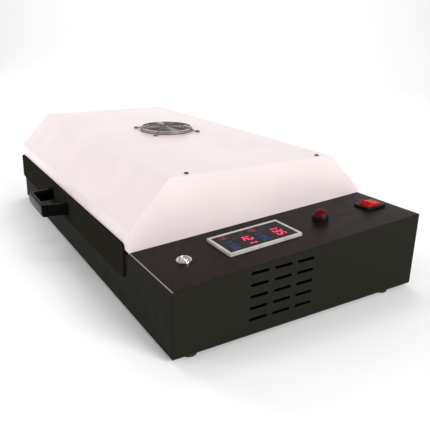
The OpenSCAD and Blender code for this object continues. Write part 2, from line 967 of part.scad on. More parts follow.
module at_lamp() {
  on_strip(lamp_from_right, lamp_from_front) children();
}

module lamp_base() {
  lead = 1.5;
  color("#1a1a1a") at_lamp() difference() {
    union() {
      cylinder(d = lamp_d, h = lamp_collar_h - lead);
      translate([0, 0, lamp_collar_h - lead]) cylinder(d = lamp_lens_d + lead, h = lead);
      translate([0, 0, -barrel_l]) cylinder(d = barrel_d, h = barrel_l + lead);
    }
    translate([0, 0, lamp_collar_h - lamp_seat - lead])
      cylinder(d = lamp_lens_d - lead, h = lamp_seat + lead + over);
  }
}

module lamp_lens() {
  lead = 1.5;
  seat_z = lamp_collar_h - lamp_seat - lead;
  dome_r = (pow(lamp_lens_d / 2, 2) + pow(lamp_lens_h, 2)) / (2 * lamp_lens_h);
  color("#c02028") at_lamp() {
    translate([0, 0, seat_z]) cylinder(d = lamp_lens_d - lead - 2 * fit, h = lamp_collar_h - seat_z);
    intersection() {
      translate([0, 0, lamp_collar_h + lamp_lens_h - dome_r]) sphere(r = dome_r);
      translate([0, 0, lamp_collar_h]) cylinder(d = lamp_lens_d, h = lamp_lens_h);
    }
  }
}

// Power switch

module at_switch() {
  on_strip(switch_from_right, switch_from_front) children();
}

module switch_frame() {
  well_w = switch_hole_w - 2 * switch_wall;
  well_l = 2 * (rocker_half + rocker_clear);
  corner_r = 2;
  color("#181818") at_switch() {
    difference() {
      union() {
        linear_extrude(switch_rim) round_rect(switch_w, switch_l, corner_r);
        translate([-switch_hole_w / 2, -switch_hole_l / 2, -switch_body_h])
          cube([switch_hole_w, switch_hole_l, switch_body_h + switch_rim / 2]);
      }
      translate([-well_w / 2, -well_l / 2, -rocker_well])
        cube([well_w, well_l, rocker_well + switch_rim + over]);
      translate([0, 0, rocker_pivot]) rotate([0, 90, 0])
        cylinder(d = rocker_pin_d + 2 * fit, h = well_w + switch_wall, center = true);
    }
    for (sx = [-1, 1], sy = [-1, 1])
      translate([sx * well_w / 4 - tab_w / 2, sy * well_l / 4 - tab_t / 2, -switch_body_h - tab_l])
        cube([tab_w, tab_t, tab_l + over]);
  }
}

module switch_rocker() {
  well_w = switch_hole_w - 2 * switch_wall;
  half_w = well_w / 2 - gap;
  top = rocker_top - rocker_pivot;
  dip = rocker_dip - rocker_pivot;
  color("#d02a20") at_switch() translate([0, 0, rocker_pivot]) rotate([-switch_swing / 2, 0, 0]) {
    along_x(-half_w, half_w) polygon([
      [-rocker_half, 0], [-rocker_half, top], [0, dip], [rocker_half, top], [rocker_half, 0],
      [rocker_pin_d, -rocker_keel], [-rocker_pin_d, -rocker_keel]]);
    rotate([0, 90, 0])
      cylinder(d = rocker_pin_d, h = well_w + switch_wall - 2 * gap, center = true);
  }
}

// Mains inlet and the parts inside the control bay

module mains_inlet() {
  color("#202020") in_body() translate([xr - inlet_from_right, body_d, inlet_z]) {
    difference() {
      union() {
        along_y(0, inlet_flange_t) round_rect(inlet_w, inlet_h, inlet_flange_t);
        translate([-inlet_body_w / 2, -inlet_body_d, -inlet_body_h / 2])
          cube([inlet_body_w, inlet_body_d + inlet_flange_t / 2, inlet_body_h]);
      }
      translate([-socket_w / 2, inlet_flange_t - socket_d, -socket_h / 2])
        cube([socket_w, socket_d + over, socket_h]);
    }
    for (p = [[-blade_gap / 2, -blade_h], [0, 0], [blade_gap / 2, -blade_h]])
      translate([p[0] - blade_w / 2, inlet_flange_t - socket_d - over, p[1]])
        cube([blade_w, socket_d - over, blade_h]);
    for (p = [[-blade_gap / 2, -blade_h], [0, blade_h], [blade_gap / 2, -blade_h]])
      translate([p[0] - tab_t / 2, -inlet_body_d - tab_l, p[1] - tab_w / 2])
        cube([tab_t, tab_l + over, tab_w]);
  }
}

sink_x = xr - sink_from_right;
block_x = xr - block_from_right;
relay_z = base_t + sink_h;

module relay_heatsink() {
  fin_step = (sink_w - fin_t) / (fin_n - 1);
  color("#9d9fa2") in_body() translate([sink_x, sink_from_front, base_t]) {
    translate([-sink_w / 2, -sink_l / 2, sink_h - sink_base]) cube([sink_w, sink_l, sink_base]);
    for (i = [0:fin_n - 1]) translate([-sink_w / 2 + i * fin_step, -sink_l / 2, 0])
      cube([fin_t, sink_l, sink_h]);
  }
}

module solid_state_relay() {
  color("#e6e4de") in_body() translate([sink_x, sink_from_front, relay_z])
    translate([-relay_w / 2, -relay_l / 2, 0]) cube([relay_w, relay_l, relay_h]);
}

module terminal_block() {
  color("#3a3a3a") in_body() translate([block_x, block_from_front, base_t]) {
    difference() {
      translate([-block_w / 2, -block_l / 2, 0]) cube([block_w, block_l, block_h]);
      for (s = [-1, 1], i = [0:block_n - 1])
        translate([s * block_w / 2, (i - (block_n - 1) / 2) * block_pitch, block_h])
          cube([2 * block_notch, block_pitch - block_notch / 2, 2 * block_notch], center = true);
    }
  }
}

// One grommet, X pointing away from the chamber
module grommet() {
  rotate([0, 90, 0]) difference() {
    union() {
      cylinder(d = grommet_hole_d - 2 * fit, h = side_t + grommet_lip);
      translate([0, 0, side_t]) cylinder(d = grommet_d, h = grommet_lip);
    }
    translate([0, 0, -over]) cylinder(d = grommet_bore_d, h = side_t + grommet_lip + 2 * over);
  }
}

module cable_grommets() {
  color("#151515") in_body() {
    translate([cx2, grommet_y, grommet_z]) grommet();
    translate([cx1, grommet_y, grommet_z]) mirror([1, 0, 0]) grommet();
  }
}

// Points of a route with each inner corner turned by a curve that starts bend_r before it
function corner_start(a, b) = b + (a - b) * min(bend_share, bend_r / norm(a - b));
function turned(points) = [
  for (i = [0:len(points) - 1])
    if (i == 0 || i == len(points) - 1) points[i]
    else let (p = corner_start(points[i - 1], points[i]), q = corner_start(points[i + 1], points[i]))
      for (k = [0:bend_n]) let (u = k / bend_n)
        (1 - u) * (1 - u) * p + 2 * u * (1 - u) * points[i] + u * u * q];

function along(path, i) =
  let (a = path[max(i - 1, 0)], b = path[min(i + 1, len(path) - 1)], v = b - a) v / norm(v);

// A wire swept along a route of points
module wire(points) {
  path = turned(points);
  n = len(path);
  rings = [
    for (i = [0:n - 1])
      let (t = along(path, i), c = cross(t, side_shares), u = c / norm(c), v = cross(t, u))
        for (k = [0:wire_sides - 1]) let (a = k * 360 / wire_sides)
          path[i] + wire_d / 2 * (cos(a) * u + sin(a) * v)];
  walls = [
    for (i = [0:n - 2], k = [0:wire_sides - 1]) let (j = (k + 1) % wire_sides, b = i * wire_sides)
      each [[b + k, b + wire_sides + k, b + j], [b + j, b + wire_sides + k, b + wire_sides + j]]];
  first = [for (k = [1:wire_sides - 2]) [0, k, k + 1]];
  last = [for (k = [1:wire_sides - 2]) let (b = (n - 1) * wire_sides) [b, b + k + 1, b + k]];
  polyhedron(rings, concat(walls, first, last));
}

// Clear stretch of wire where it leaves a part, and the heights above the
// terminals at which the wires reach the block
wire_lead = 12;
wire_rise = [10, 17, 25, 33, 41];
cavity_x = cx2 + cavity_w / 2 + 1.5 * wire_d;
wire_side = 1.6;

// Point above a terminal of the block: its side, its number and the height
function terminal(side, i, up) = [
  block_x + side * (block_w - block_notch) / 2,
  block_from_front + (i - (block_n - 1) / 2) * block_pitch,
  base_t + block_h - block_notch + up];

// Point on a part of the strip, given in that part's own directions
function strip_point(from_right, from_front, p) = [
  xr - from_right + p[0],
  from_front + p[1] * cos(strip_a) - p[2] * sin(strip_a),
  strip_z(from_front) + p[1] * sin(strip_a) + p[2] * cos(strip_a)];

// Point under the back of the controller's case
function under_case(x, y, out) = strip_point(panel_from_right, panel_from_front, [x, y, -case_d - out]);

module inlet_wires() {
  tab_y = body_d - inlet_body_d - tab_l;
  for (s = [0, 1]) let (x = xr - inlet_from_right + (s - 0.5) * blade_gap) wire([
    [x, tab_y, inlet_z - blade_h],
    [x, tab_y - wire_lead, inlet_z - blade_h],
    terminal(1, 3 + 2 * s, wire_rise[1]),
    terminal(1, 3 + 2 * s, 0)]);
}

module switch_wires() {
  low = -switch_body_h - tab_l;
  side = (switch_hole_w - 2 * switch_wall) / 4;
  front = -(rocker_half + rocker_clear) / 2;
  for (s = [0, 1]) let (x = (2 * s - 1) * side) wire([
    strip_point(switch_from_right, switch_from_front, [x, front, low]),
    strip_point(switch_from_right, switch_from_front, [x, front, low - wire_lead]),
    terminal(1, 2 + 2 * s, wire_rise[3]),
    terminal(1, 2 + 2 * s, 0)]);
}

module lamp_wires() {
  for (s = [0, 1]) let (x = (2 * s - 1) * 2 * wire_d) wire([
    strip_point(lamp_from_right, lamp_from_front, [x, 0, -barrel_l]),
    strip_point(lamp_from_right, lamp_from_front, [x, 0, -barrel_l - wire_lead]),
    terminal(1, s, wire_rise[4]),
    terminal(1, s, 0)]);
}

module controller_wires() {
  for (s = [0, 1]) let (x = (2 * s - 1) * 2 * wire_d, y = case_l / 2 - wire_lead) wire([
    under_case(x, y, 0),
    under_case(x, y, wire_lead),
    terminal(-1, 1 + s, wire_rise[2 + s]),
    terminal(-1, 1 + s, 0)]);
}

module button_wires() {
  for (s = [-1, 1]) let (x = case_w / 2 - wire_lead / 2 + s * wire_d, y = wire_lead - case_l / 2) wire([
    strip_point(button_from_right, button_from_front, [s * wire_d, 0, -barrel_l]),
    strip_point(button_from_right, button_from_front, [s * wire_d, 0, -barrel_l - wire_lead]),
    under_case(x, y, wire_lead),
    under_case(x, y, 0)]);
}

// The relay's control wires come from the controller above it, and its load
// wires go to the block and to the right-hand busbar
module relay_wires() {
  top = relay_z + relay_h;
  reach = relay_w / 2 - wire_lead / 2;
  back = sink_from_front + relay_l / 2 - wire_lead / 2;
  front = sink_from_front - relay_l / 2 + wire_lead / 2;
  rise = 2 * wire_d;
  bar_x = cx2 + cap_out + bus_t / 2;
  bar_y = tube_front - bus_w;
  for (s = [-1, 1]) let (y = front - panel_from_front + wire_d) wire([
    [sink_x + s * reach, front, top],
    [sink_x + s * reach, front, top + rise],
    under_case(s * reach, y, rise),
    under_case(s * reach, y, 0)]);
  wire([
    [sink_x + reach, back, top],
    [sink_x + reach, back, top + rise],
    terminal(-1, 0, wire_rise[0]),
    terminal(-1, 0, 0)]);
  wire([
    [sink_x - reach, back, top],
    [sink_x - reach, back, top + rise],
    [bar_x, bar_y - wire_lead, top + rise],
    [bar_x, bar_y - wire_lead, tube_z],
    [bar_x, bar_y, tube_z]]);
}

module probe_wire() {
  start = cx2 + side_t + probe_hex_t;
  x = wire_lead - case_w / 2;
  wire([
    [start, probe_y, probe_z],
    [cavity_x, probe_y, probe_z],
    [cavity_x, probe_y, under_case(x, wire_lead, wire_lead)[2]],
    under_case(x, wire_lead, wire_lead),
    under_case(x, wire_lead, 0)]);
}

// Wires that climb between the chamber and the hood's end, and pass the
// grommets: two to the fan and one to the left-hand busbar
module plenum_wires() {
  turn_z = tube_z + bus_w;
  fan_side = fan_x + fan_s / 2;
  fan_back = fan_from_front + fan_s / 2 - wire_lead;
  bus_y = grommet_y + 2 * wire_side;
  bus_x = cx1 - cap_out - bus_t / 2;
  for (s = [-1, 1]) let (x = cavity_x + s * wire_side, z = grommet_z + s * wire_side, i = s < 0 ? 3 : 4)
    wire([
      terminal(-1, i, 0),
      terminal(-1, i, wire_rise[0]),
      [x, terminal(-1, i, 0)[1], base_t + block_h],
      [x, terminal(-1, i, 0)[1], turn_z],
      [x, grommet_y - wire_side, z],
      [fan_side + 2 * wire_lead, grommet_y - wire_side, z],
      [fan_side + 2 * wire_lead, fan_back, z],
      [fan_side, fan_back, z]]);
  wire([
    terminal(-1, 5, 0),
    terminal(-1, 5, wire_rise[0]),
    [cavity_x, terminal(-1, 5, 0)[1], base_t + block_h],
    [cavity_x, terminal(-1, 5, 0)[1], turn_z],
    [cavity_x, bus_y, grommet_z],
    [bus_x, bus_y, grommet_z],
    [bus_x, bus_y, tube_z + bus_w / 2]]);
}

module wiring_loom() {
  color("#7a2a26") in_body() {
    inlet_wires();
    switch_wires();
    lamp_wires();
    controller_wires();
    button_wires();
    relay_wires();
    probe_wire();
    plenum_wires();
  }
}

// Feet

module foot_places() {
  for (x = [xl + foot_side, xr - foot_side], y = [foot_front, body_d - foot_back])
    translate([x, y, 0]) children();
}

foot_recess_d = 11;
foot_recess = 3.5;
foot_taper = 1.5;

module foot(x, y) {
  color("#141414") in_body() translate([x, y, -foot_h]) difference() {
    union() {
      translate([0, 0, foot_taper]) cylinder(d = foot_d, h = foot_h - foot_taper);
      cylinder(d = foot_d - 2 * foot_taper, h = foot_h);
    }
    translate([0, 0, -over]) cylinder(d = foot_recess_d, h = foot_recess + over);
    cylinder(d = screw_d + 2 * fit, h = foot_h + over);
  }
}

module foot_screws() {
  nut_h = 3;
  color("#9a9a98") in_body() foot_places() {
    translate([0, 0, foot_recess - foot_h]) mirror([0, 0, 1]) {
      cylinder(d = screw_head_d, h = screw_head_h);
      translate([0, 0, foot_recess - foot_h - base_t - nut_h])
        cylinder(d = screw_d, h = foot_h - foot_recess + base_t + nut_h + screw_head_h / 2);
    }
  }
}

// Runners: each member is a channel along Y, drawn for the left-hand side with
// X from the side plate towards the tray

member_gap = 1;
middle_x = runner_t + member_gap;
middle_h = runner_h - 2 * (runner_t + gap);
inner_h = middle_h - 2 * (runner_t + gap);
fixed_depth = runner_w - 2 * gap;
middle_depth = runner_w - runner_t - middle_x - 2 * gap;

// Channel outline in X and Z: web at X = 0, open towards +X
module channel(h, depth) {
  translate([0, -h / 2]) square([runner_t, h]);
  for (s = [-1, 1]) translate([0, s * (h - runner_t) / 2 - runner_t / 2]) square([depth, runner_t]);
}

module runner_at(side) {
  in_body() translate([side < 0 ? cx1 : cx2, 0, runner_z]) mirror([side < 0 ? 0 : 1, 0, 0])
    along_y(runner_y, runner_y + runner_l) children();
}

module runner_fixed(side) {
  color("#aeb1b3") runner_at(side) channel(runner_h, fixed_depth);
}

module runner_middle(side) {
  color("#a3a6a8") runner_at(side) translate([middle_x, 0]) channel(middle_h, middle_depth);
}

module runner_inner(side) {
  color("#b6b9bb") runner_at(side) translate([runner_w, 0]) mirror([1, 0])
    channel(inner_h, runner_w - middle_x - runner_t - member_gap);
}

// Drawer

module drawer_front() {
  w = plate_x2 - plate_x1;
  inner_r = plate_r - plate_t;
  color("#232120") in_body() difference() {
    along_y(-plate_out, -plate_back) translate([(plate_x1 + plate_x2) / 2, plate_z + plate_h / 2])
      round_rect(w, plate_h, plate_r);
    along_y(-plate_out + plate_t, over) translate([(plate_x1 + plate_x2) / 2, plate_z + plate_h / 2])
      round_rect(w - 2 * plate_t, plate_h - 2 * plate_t, inner_r);
    handle_screw_places() translate([0, 0, -over])
      cylinder(d = screw_d + 2 * gap, h = plate_out + over);
  }
}

// Places at the handle's screws on the plate's inner face, Z pointing forwards
module handle_screw_places() {
  for (s = [-1, 1]) translate([handle_x + s * handle_screw_pitch / 2, -plate_out + plate_t, handle_z])
    rotate([90, 0, 0]) children();
}

module drawer_handle() {
  chamfer = 2;
  inner_l = grip_l - 2 * arm_t;
  reach = handle_out;
  color("#111111") in_body() difference() {
    translate([handle_x, -plate_out, handle_z - handle_h / 2]) mirror([0, 1, 0]) difference() {
      union() {
        linear_extrude(handle_h - chamfer) polygon([
          [-handle_l / 2, 0], [handle_l / 2, 0], [grip_l / 2, reach], [-grip_l / 2, reach]]);
        linear_extrude(handle_h) polygon([
          [-handle_l / 2 + chamfer, 0], [handle_l / 2 - chamfer, 0],
          [grip_l / 2 - chamfer, reach - chamfer], [-grip_l / 2 + chamfer, reach - chamfer]]);
      }
      translate([0, 0, -over]) linear_extrude(handle_h + 2 * over) polygon([
        [-handle_l / 2 + arm_t, -over], [handle_l / 2 - arm_t, -over],
        [inner_l / 2, reach - grip_t], [-inner_l / 2, reach - grip_t]]);
    }
    handle_screw_places() cylinder(d = screw_d + 2 * fit, h = handle_screw_l + over);
  }
}

module handle_screws() {
  color("#9a9a98") in_body() handle_screw_places()
    translate([0, 0, -tray_t]) mirror([0, 0, 1]) pan_screw(handle_screw_l);
}

// Floor and side walls of the tray, one folded sheet
module drawer_tray() {
  y1 = -plate_out + plate_t;
  color("#bfc0be") in_body() difference() {
    block([tx1, y1, tray_z], [tx2, y1 + tray_d, tray_z + tray_h]);
    block([tx1 + tray_t, y1 - over, tray_z + tray_t],
      [tx2 - tray_t, y1 + tray_d + over, tray_z + tray_h + over]);
  }
}

// Front and back walls of the tray, which stand on its floor between its sides
module tray_end_walls() {
  y1 = -plate_out + plate_t;
  color("#bfc0be") in_body() {
    difference() {
      block([tx1 + tray_t, y1, tray_z + tray_t], [tx2 - tray_t, y1 + tray_t, tray_z + tray_h]);
      handle_screw_places() translate([0, 0, -tray_t - over])
        cylinder(d = screw_d + 2 * gap, h = tray_t + 2 * over);
    }
    block([tx1 + tray_t, y1 + tray_d - tray_t, tray_z + tray_t],
      [tx2 - tray_t, y1 + tray_d, tray_z + tray_h]);
  }
}

module tray_rack() {
  x1 = tx1 + tray_t + rack_gap;
  x2 = tx2 - tray_t - rack_gap;
  y1 = -plate_out + plate_t + tray_t + screw_head_h + rack_gap;
  y2 = -plate_out + plate_t + tray_d - tray_t - rack_gap;
  z1 = tray_z + tray_t;
  long_step = (y2 - y1 - wire_s) / (rack_long_wires - 1);
  cross_step = (x2 - x1 - wire_s) / (rack_cross_wires - 1);
  color("#8f9191") in_body() {
    for (i = [0:rack_cross_wires - 1]) let (x = x1 + i * cross_step)
      block([x, y1, z1], [x + wire_s, y2, z1 + wire_s]);
    for (i = [0:rack_long_wires - 1]) let (y = y1 + i * long_step)
      block([x1, y, z1 + wire_s], [x2, y + wire_s, z1 + 2 * wire_s]);
  }
}

base_tray();
control_cover();
hood_wrap();
hood_end_left();
hood_end_right();
hood_screws();
rear_screws();
side_plate_left();
side_plate_right();
chamber_liner();
hood_insulation();
floor_shield();
floor_insulation();
heater_tube(0);  // heater_tube_1
heater_tube(1);  // heater_tube_2
heater_tube(2);  // heater_tube_3
heater_tube(3);  // heater_tube_4
heater_tube(4);  // heater_tube_5
heater_caps();
busbars();
thermocouple();
fan_frame();
fan_rotor();
fan_guard();
fan_screws();
controller_case();
controller_bezel();
controller_face();
display_digits();
controller_keys();
button_housing();
button_cap();
panel_nuts();
lamp_base();
lamp_lens();
switch_frame();
switch_rocker();
mains_inlet();
relay_heatsink();
solid_state_relay();
terminal_block();
cable_grommets();
wiring_loom();
foot(xl + foot_side, foot_front);  // foot_front_left
foot(xr - foot_side, foot_front);  // foot_front_right
foot(xl + foot_side, body_d - foot_back);  // foot_back_left
foot(xr - foot_side, body_d - foot_back);  // foot_back_right
foot_screws();
runner_fixed(-1);  // runner_fixed_left
runner_fixed(1);  // runner_fixed_right
runner_middle(-1);  // runner_middle_left
runner_middle(1);  // runner_middle_right
runner_inner(-1);  // runner_inner_left
runner_inner(1);  // runner_inner_right
drawer_front();
drawer_handle();
handle_screws();
drawer_tray();
tray_end_walls();
tray_rack();
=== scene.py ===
# Bench-top oven that cures printed transfer film. Metres throughout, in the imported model's frame:
# X along the front, Y from front to back, Z up from the bench.
import json
import math

import bmesh
import bpy
import numpy as np
from mathutils import Matrix, Vector


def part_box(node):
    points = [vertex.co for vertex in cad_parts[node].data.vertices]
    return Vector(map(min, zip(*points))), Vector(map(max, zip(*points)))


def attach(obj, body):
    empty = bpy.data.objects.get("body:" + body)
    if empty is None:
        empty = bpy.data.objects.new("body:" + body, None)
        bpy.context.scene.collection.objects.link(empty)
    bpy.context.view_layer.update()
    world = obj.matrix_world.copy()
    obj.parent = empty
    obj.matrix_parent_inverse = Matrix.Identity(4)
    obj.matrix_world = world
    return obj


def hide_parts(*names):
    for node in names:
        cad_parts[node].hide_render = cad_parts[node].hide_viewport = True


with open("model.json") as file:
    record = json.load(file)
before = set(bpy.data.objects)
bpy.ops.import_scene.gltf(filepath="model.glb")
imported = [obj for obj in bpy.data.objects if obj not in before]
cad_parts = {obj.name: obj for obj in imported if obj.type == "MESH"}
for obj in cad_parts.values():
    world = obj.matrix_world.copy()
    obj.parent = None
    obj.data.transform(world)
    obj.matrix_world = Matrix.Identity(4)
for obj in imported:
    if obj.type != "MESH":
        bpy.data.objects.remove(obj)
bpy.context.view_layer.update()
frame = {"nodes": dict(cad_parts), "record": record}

nodes = frame["nodes"]
mm = 0.001

# The body that everything stands on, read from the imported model
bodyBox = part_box("base_tray")
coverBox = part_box("control_cover")
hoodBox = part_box("hood_wrap")
body = {
    "right": coverBox[1].x, "front": bodyBox[0].y, "under": bodyBox[0].z,
    "depth": bodyBox[1].y - bodyBox[0].y,
    "stripFront": 105 * mm, "stripBack": 134 * mm,      # height of the sloping strip at its two edges
}
stripTan = (body["stripBack"] - body["stripFront"]) / body["depth"]
print("frame read:", len(nodes), "nodes")


# Camera, lights and floor

# Place, angles in degrees and focal length, fitted so that the body's corners fall where the picture has them
cameraSpot = {
    "place": (976.74 * mm, -500.35 * mm, 442.71 * mm),
    "azimuth": 59.470, "elevation": 17.793, "roll": -0.840,
    "focalPixels": 519.85, "framePixels": 430, "centrePixel": (199.61, 196.86), "sensor": 36.0,
    "nearest": 0.02, "farthest": 30,
}


def makeCamera():
    turn, rise, roll = (math.radians(cameraSpot[k]) for k in ("azimuth", "elevation", "roll"))
    ahead = Vector((-math.sin(turn) * math.cos(rise), math.cos(turn) * math.cos(rise), -math.sin(rise)))
    right = ahead.cross(Vector((0, 0, 1))).normalized()
    down = ahead.cross(right)
    side = math.cos(roll) * right + math.sin(roll) * down
    up = math.sin(roll) * right - math.cos(roll) * down
    data = bpy.data.cameras.new("camera")
    camera = bpy.data.objects.new("camera", data)
    bpy.context.scene.collection.objects.link(camera)
    turned = Matrix((side, up, -ahead)).transposed().to_4x4()
    camera.matrix_world = Matrix.Translation(cameraSpot["place"]) @ turned
    size = cameraSpot["framePixels"]
    data.sensor_width = cameraSpot["sensor"]
    data.lens = cameraSpot["focalPixels"] / size * cameraSpot["sensor"]
    data.shift_x = (size / 2 - cameraSpot["centrePixel"][0]) / size
    data.shift_y = (cameraSpot["centrePixel"][1] - size / 2) / size
    data.clip_start, data.clip_end = cameraSpot["nearest"], cameraSpot["farthest"]
    bpy.context.scene.camera = camera


# Power in watts. A light without a glint is a fill that leaves no highlight.
areaLights = {
    "overhead": {"place": (0.3, 0.1, 2.6), "aim": (0, 0, 0), "size": (2.6, 2.2), "power": 1, "glint": True},
    "left": {"place": (-2.6, -1.25, 1.7), "aim": (0.1, -0.2, 0.1), "size": (1.5, 1.1), "power": 34,
             "glint": False},
    "front": {"place": (-0.6, -3.0, 1.0), "aim": (0, 0, 0.15), "size": (1.6, 1.0), "power": 40,
              "glint": False},
    "right": {"place": (3.0, 0.7, 1.6), "aim": (0.2, 0, 0.15), "size": (1.4, 1.2), "power": 86,
              "glint": True},
    "backdrop": {"place": (-1.3, 1.0, 4.0), "aim": (-4.2, 2.6, 1.4), "size": (3.0, 1.5), "power": 112,
                 "glint": True},
}
room = {"reach": 5.5, "height": 6.0, "sweep": 2.6, "sweepSteps": 25, "turn": 59.5,
        "floorColour": "#fbfbfb", "floorRoughness": 0.9, "skyColour": "#ffffff", "skyStrength": 0.35}


def linear(hexColour):
    # sRGB to linear: a straight piece near black, then a power of 2.4
    channels = np.array([int(hexColour[i:i + 2], 16) for i in (1, 3, 5)]) / 255
    low = channels / 12.92
    high = ((channels + 0.055) / 1.055) ** 2.4
    return (*np.where(channels <= 0.04045, low, high).tolist(), 1.0)


def addNode(tree, kind, values=None, links=None):
    node = tree.nodes.new(kind)
    for key, value in (values or {}).items():
        node.inputs[key].default_value = value
    for key, source in (links or {}).items():
        tree.links.new(source, node.inputs[key])
    return node


def newLook(name, **values):
    look = bpy.data.materials.new(name)
    look.use_nodes = True
    tree = look.node_tree
    tree.nodes.clear()
    shader = addNode(tree, "ShaderNodeBsdfPrincipled", values)
    addNode(tree, "ShaderNodeOutputMaterial", links={"Surface": shader.outputs["BSDF"]})
    place = addNode(tree, "ShaderNodeTexCoord").outputs["Object"]
    return look, tree, shader, place


def gridShape(points, closeU=False, closeV=False):
    # Faces between neighbours of a grid of points, joined round where a direction closes
    count = points.shape[0] * points.shape[1]
    index = np.arange(count).reshape(points.shape[:2])
    if closeU:
        index = np.vstack([index, index[:1]])
    if closeV:
        index = np.hstack([index, index[:, :1]])
    quads = np.stack([index[:-1, :-1], index[1:, :-1], index[1:, 1:], index[:-1, 1:]], axis=-1)
    return points.reshape(-1, 3), quads.reshape(-1, 4).tolist()


def makeRoom():
    world = bpy.data.worlds.new("room")
    world.use_nodes = True
    bpy.context.scene.world = world
    sky = world.node_tree.nodes["Background"]
    sky.inputs["Color"].default_value = linear(room["skyColour"])
    sky.inputs["Strength"].default_value = room["skyStrength"]
    for name, light in areaLights.items():
        data = bpy.data.lights.new(name, "AREA")
        data.shape = "RECTANGLE"
        data.size, data.size_y = light["size"]
        data.energy = light["power"]
        source = bpy.data.objects.new(name, data)
        bpy.context.scene.collection.objects.link(source)
        source.location = light["place"]
        aim = Vector(light["aim"]) - source.location
        source.rotation_euler = aim.to_track_quat("-Z", "Y").to_euler()
        source.visible_glossy = light["glint"]
    # Floor that sweeps up into the wall behind by a quarter circle
    reach, sweep = room["reach"], room["sweep"]
    bend = np.linspace(0, np.pi / 2, room["sweepSteps"])
    back = np.concatenate([[-reach], reach - sweep + sweep * np.sin(bend), [reach]])
    rise = np.concatenate([[0], sweep * (1 - np.cos(bend)), [room["height"]]])
    side = np.array([-2 * reach, 2 * reach])[:, None]
    turn = math.radians(room["turn"])
    points = np.stack([side * math.cos(turn) - back * math.sin(turn),
                       side * math.sin(turn) + back * math.cos(turn), rise + 0 * side], axis=-1)
    places, quads = gridShape(points)
    mesh = bpy.data.meshes.new("floor")
    mesh.from_pydata(places.tolist(), [], quads)
    mesh.polygons.foreach_set("use_smooth", np.ones(len(mesh.polygons), bool))
    floor = bpy.data.objects.new("floor", mesh)
    bpy.context.scene.collection.objects.link(floor)
    paint = newLook("matt paint, rolled", **{"Base Color": linear(room["floorColour"]),
                                             "Roughness": room["floorRoughness"]})[0]
    mesh.materials.append(paint)


bpy.context.scene.view_settings.view_transform = "Standard"
makeCamera()
makeRoom()
print("camera, lights and floor made")


# Materials. Pattern sizes are in millimetres and each becomes a texture scale of 1 over its size.

def perMetre(sizeMm):
    return 1 / (sizeMm * mm)


def grain(tree, place, sizeMm, detail=2.0, stretch=None):
    # Soft noise whose blobs are about sizeMm across, stretched along an axis for a drawn or brushed finish
    if stretch:
        place = addNode(tree, "ShaderNodeMapping", {"Scale": stretch}, {"Vector": place}).outputs["Vector"]
    noise = addNode(tree, "ShaderNodeTexNoise", {"Scale": perMetre(sizeMm), "Detail": detail},
                    {"Vector": place})
    return noise.outputs["Fac"]


noiseRange = (0.3, 0.7)         # where most of the noise's values lie
tintRange = (0.35, 0.65)        # a little narrower, so that both tones show pure


def between(tree, source, low, high):
    # Spreads the noise's range over low to high
    spread = {"From Min": noiseRange[0], "From Max": noiseRange[1], "To Min": low, "To Max": high}
    return addNode(tree, "ShaderNodeMapRange", spread, {"Value": source}).outputs["Result"]


def tinted(tree, source, dark, light):
    ramp = addNode(tree, "ShaderNodeValToRGB", links={"Fac": source})
    ramp.color_ramp.elements[0].position, ramp.color_ramp.elements[1].position = tintRange
    ramp.color_ramp.elements[0].color = linear(dark)
    ramp.color_ramp.elements[1].color = linear(light)
    return ramp.outputs["Color"]


def coloured(tree, shader, source, dark, light):
    tree.links.new(tinted(tree, source, dark, light), shader.inputs["Base Color"])


def roughened(tree, shader, source, low, high):
    tree.links.new(between(tree, source, low, high), shader.inputs["Roughness"])


def raised(tree, shader, source, heightMm, strength):
    bump = addNode(tree, "ShaderNodeBump", {"Strength": strength, "Distance": heightMm * mm},
                   {"Height": source})
    tree.links.new(bump.outputs["Normal"], shader.inputs["Normal"])


def glossPowderCoat():
    # Polyester powder coat, sprayed and baked, gloss white: slow changes of gloss break the reflections up
    look, tree, shader, place = newLook("gloss powder coat", **{"Roughness": 0.3, "IOR": 1.5,
                                                                "Specular IOR Level": 0.2})
    coloured(tree, shader, grain(tree, place, 90), "#e5d7d7", "#e9dbdb")
    roughened(tree, shader, grain(tree, place, 60, 0.0), 0.28, 0.3)
    return look


def satinPowderCoat(name, dark, light, rough, peel, gloss):
    # Polyester powder coat with a fine sand texture, satin: grains of about a millimetre catch small
    # lights over a soft sheen
    look, tree, shader, place = newLook(name, **{"Roughness": rough, "IOR": 1.5,
                                                 "Specular IOR Level": gloss})
    coloured(tree, shader, grain(tree, place, 1.4, 4.0), dark, light)
    roughened(tree, shader, grain(tree, place, 14), rough - 0.05, rough + 0.06)
    raised(tree, shader, grain(tree, place, 1.1, 3.0), peel, 0.6)
    return look


# Heights of the painted highlight line on the fold, and what tells the fold and the right-hand face from the
# cover's other faces
paintedLightMasks = {"below": 2 * mm, "height": 2.1 * mm, "slant": 0.3, "reach": 4 * mm, "upright": 0.9}


def paintedFoldHighlight():
    # The same coat on the strip's front fold, with a painted highlight along its crest: a bright line about a
    # millimetre wide that fades out on both sides
    look, tree, shader, place = newLook("satin powder coat, painted fold highlight", **{"Roughness": 0.4, "IOR": 1.5,
                                                                             "Specular IOR Level": 0.05})
    height = addNode(tree, "ShaderNodeSeparateXYZ", links={"Vector": place}).outputs["Z"]
    low = body["under"] + body["stripFront"] - paintedLightMasks["below"]
    share = addNode(tree, "ShaderNodeMapRange", {"From Min": low, "From Max": low + paintedLightMasks["height"]},
                    {"Value": height})
    ramp = addNode(tree, "ShaderNodeValToRGB", links={"Fac": share.outputs["Result"]})
    # Tones across the fold: dark coat, then the painted highlight, then dark coat again
    for at, tone in ((0.2, "#4a4341"), (0.4, "#928b88"), (0.8, "#928b88")):
        ramp.color_ramp.elements.new(at).color = linear(tone)
    ramp.color_ramp.elements[0].color = linear("#1c1413")
    ramp.color_ramp.elements[-1].color = linear("#261b1a")
    tree.links.new(ramp.outputs["Color"], shader.inputs["Base Color"])
    roughened(tree, shader, grain(tree, place, 14), 0.36, 0.46)
    return look


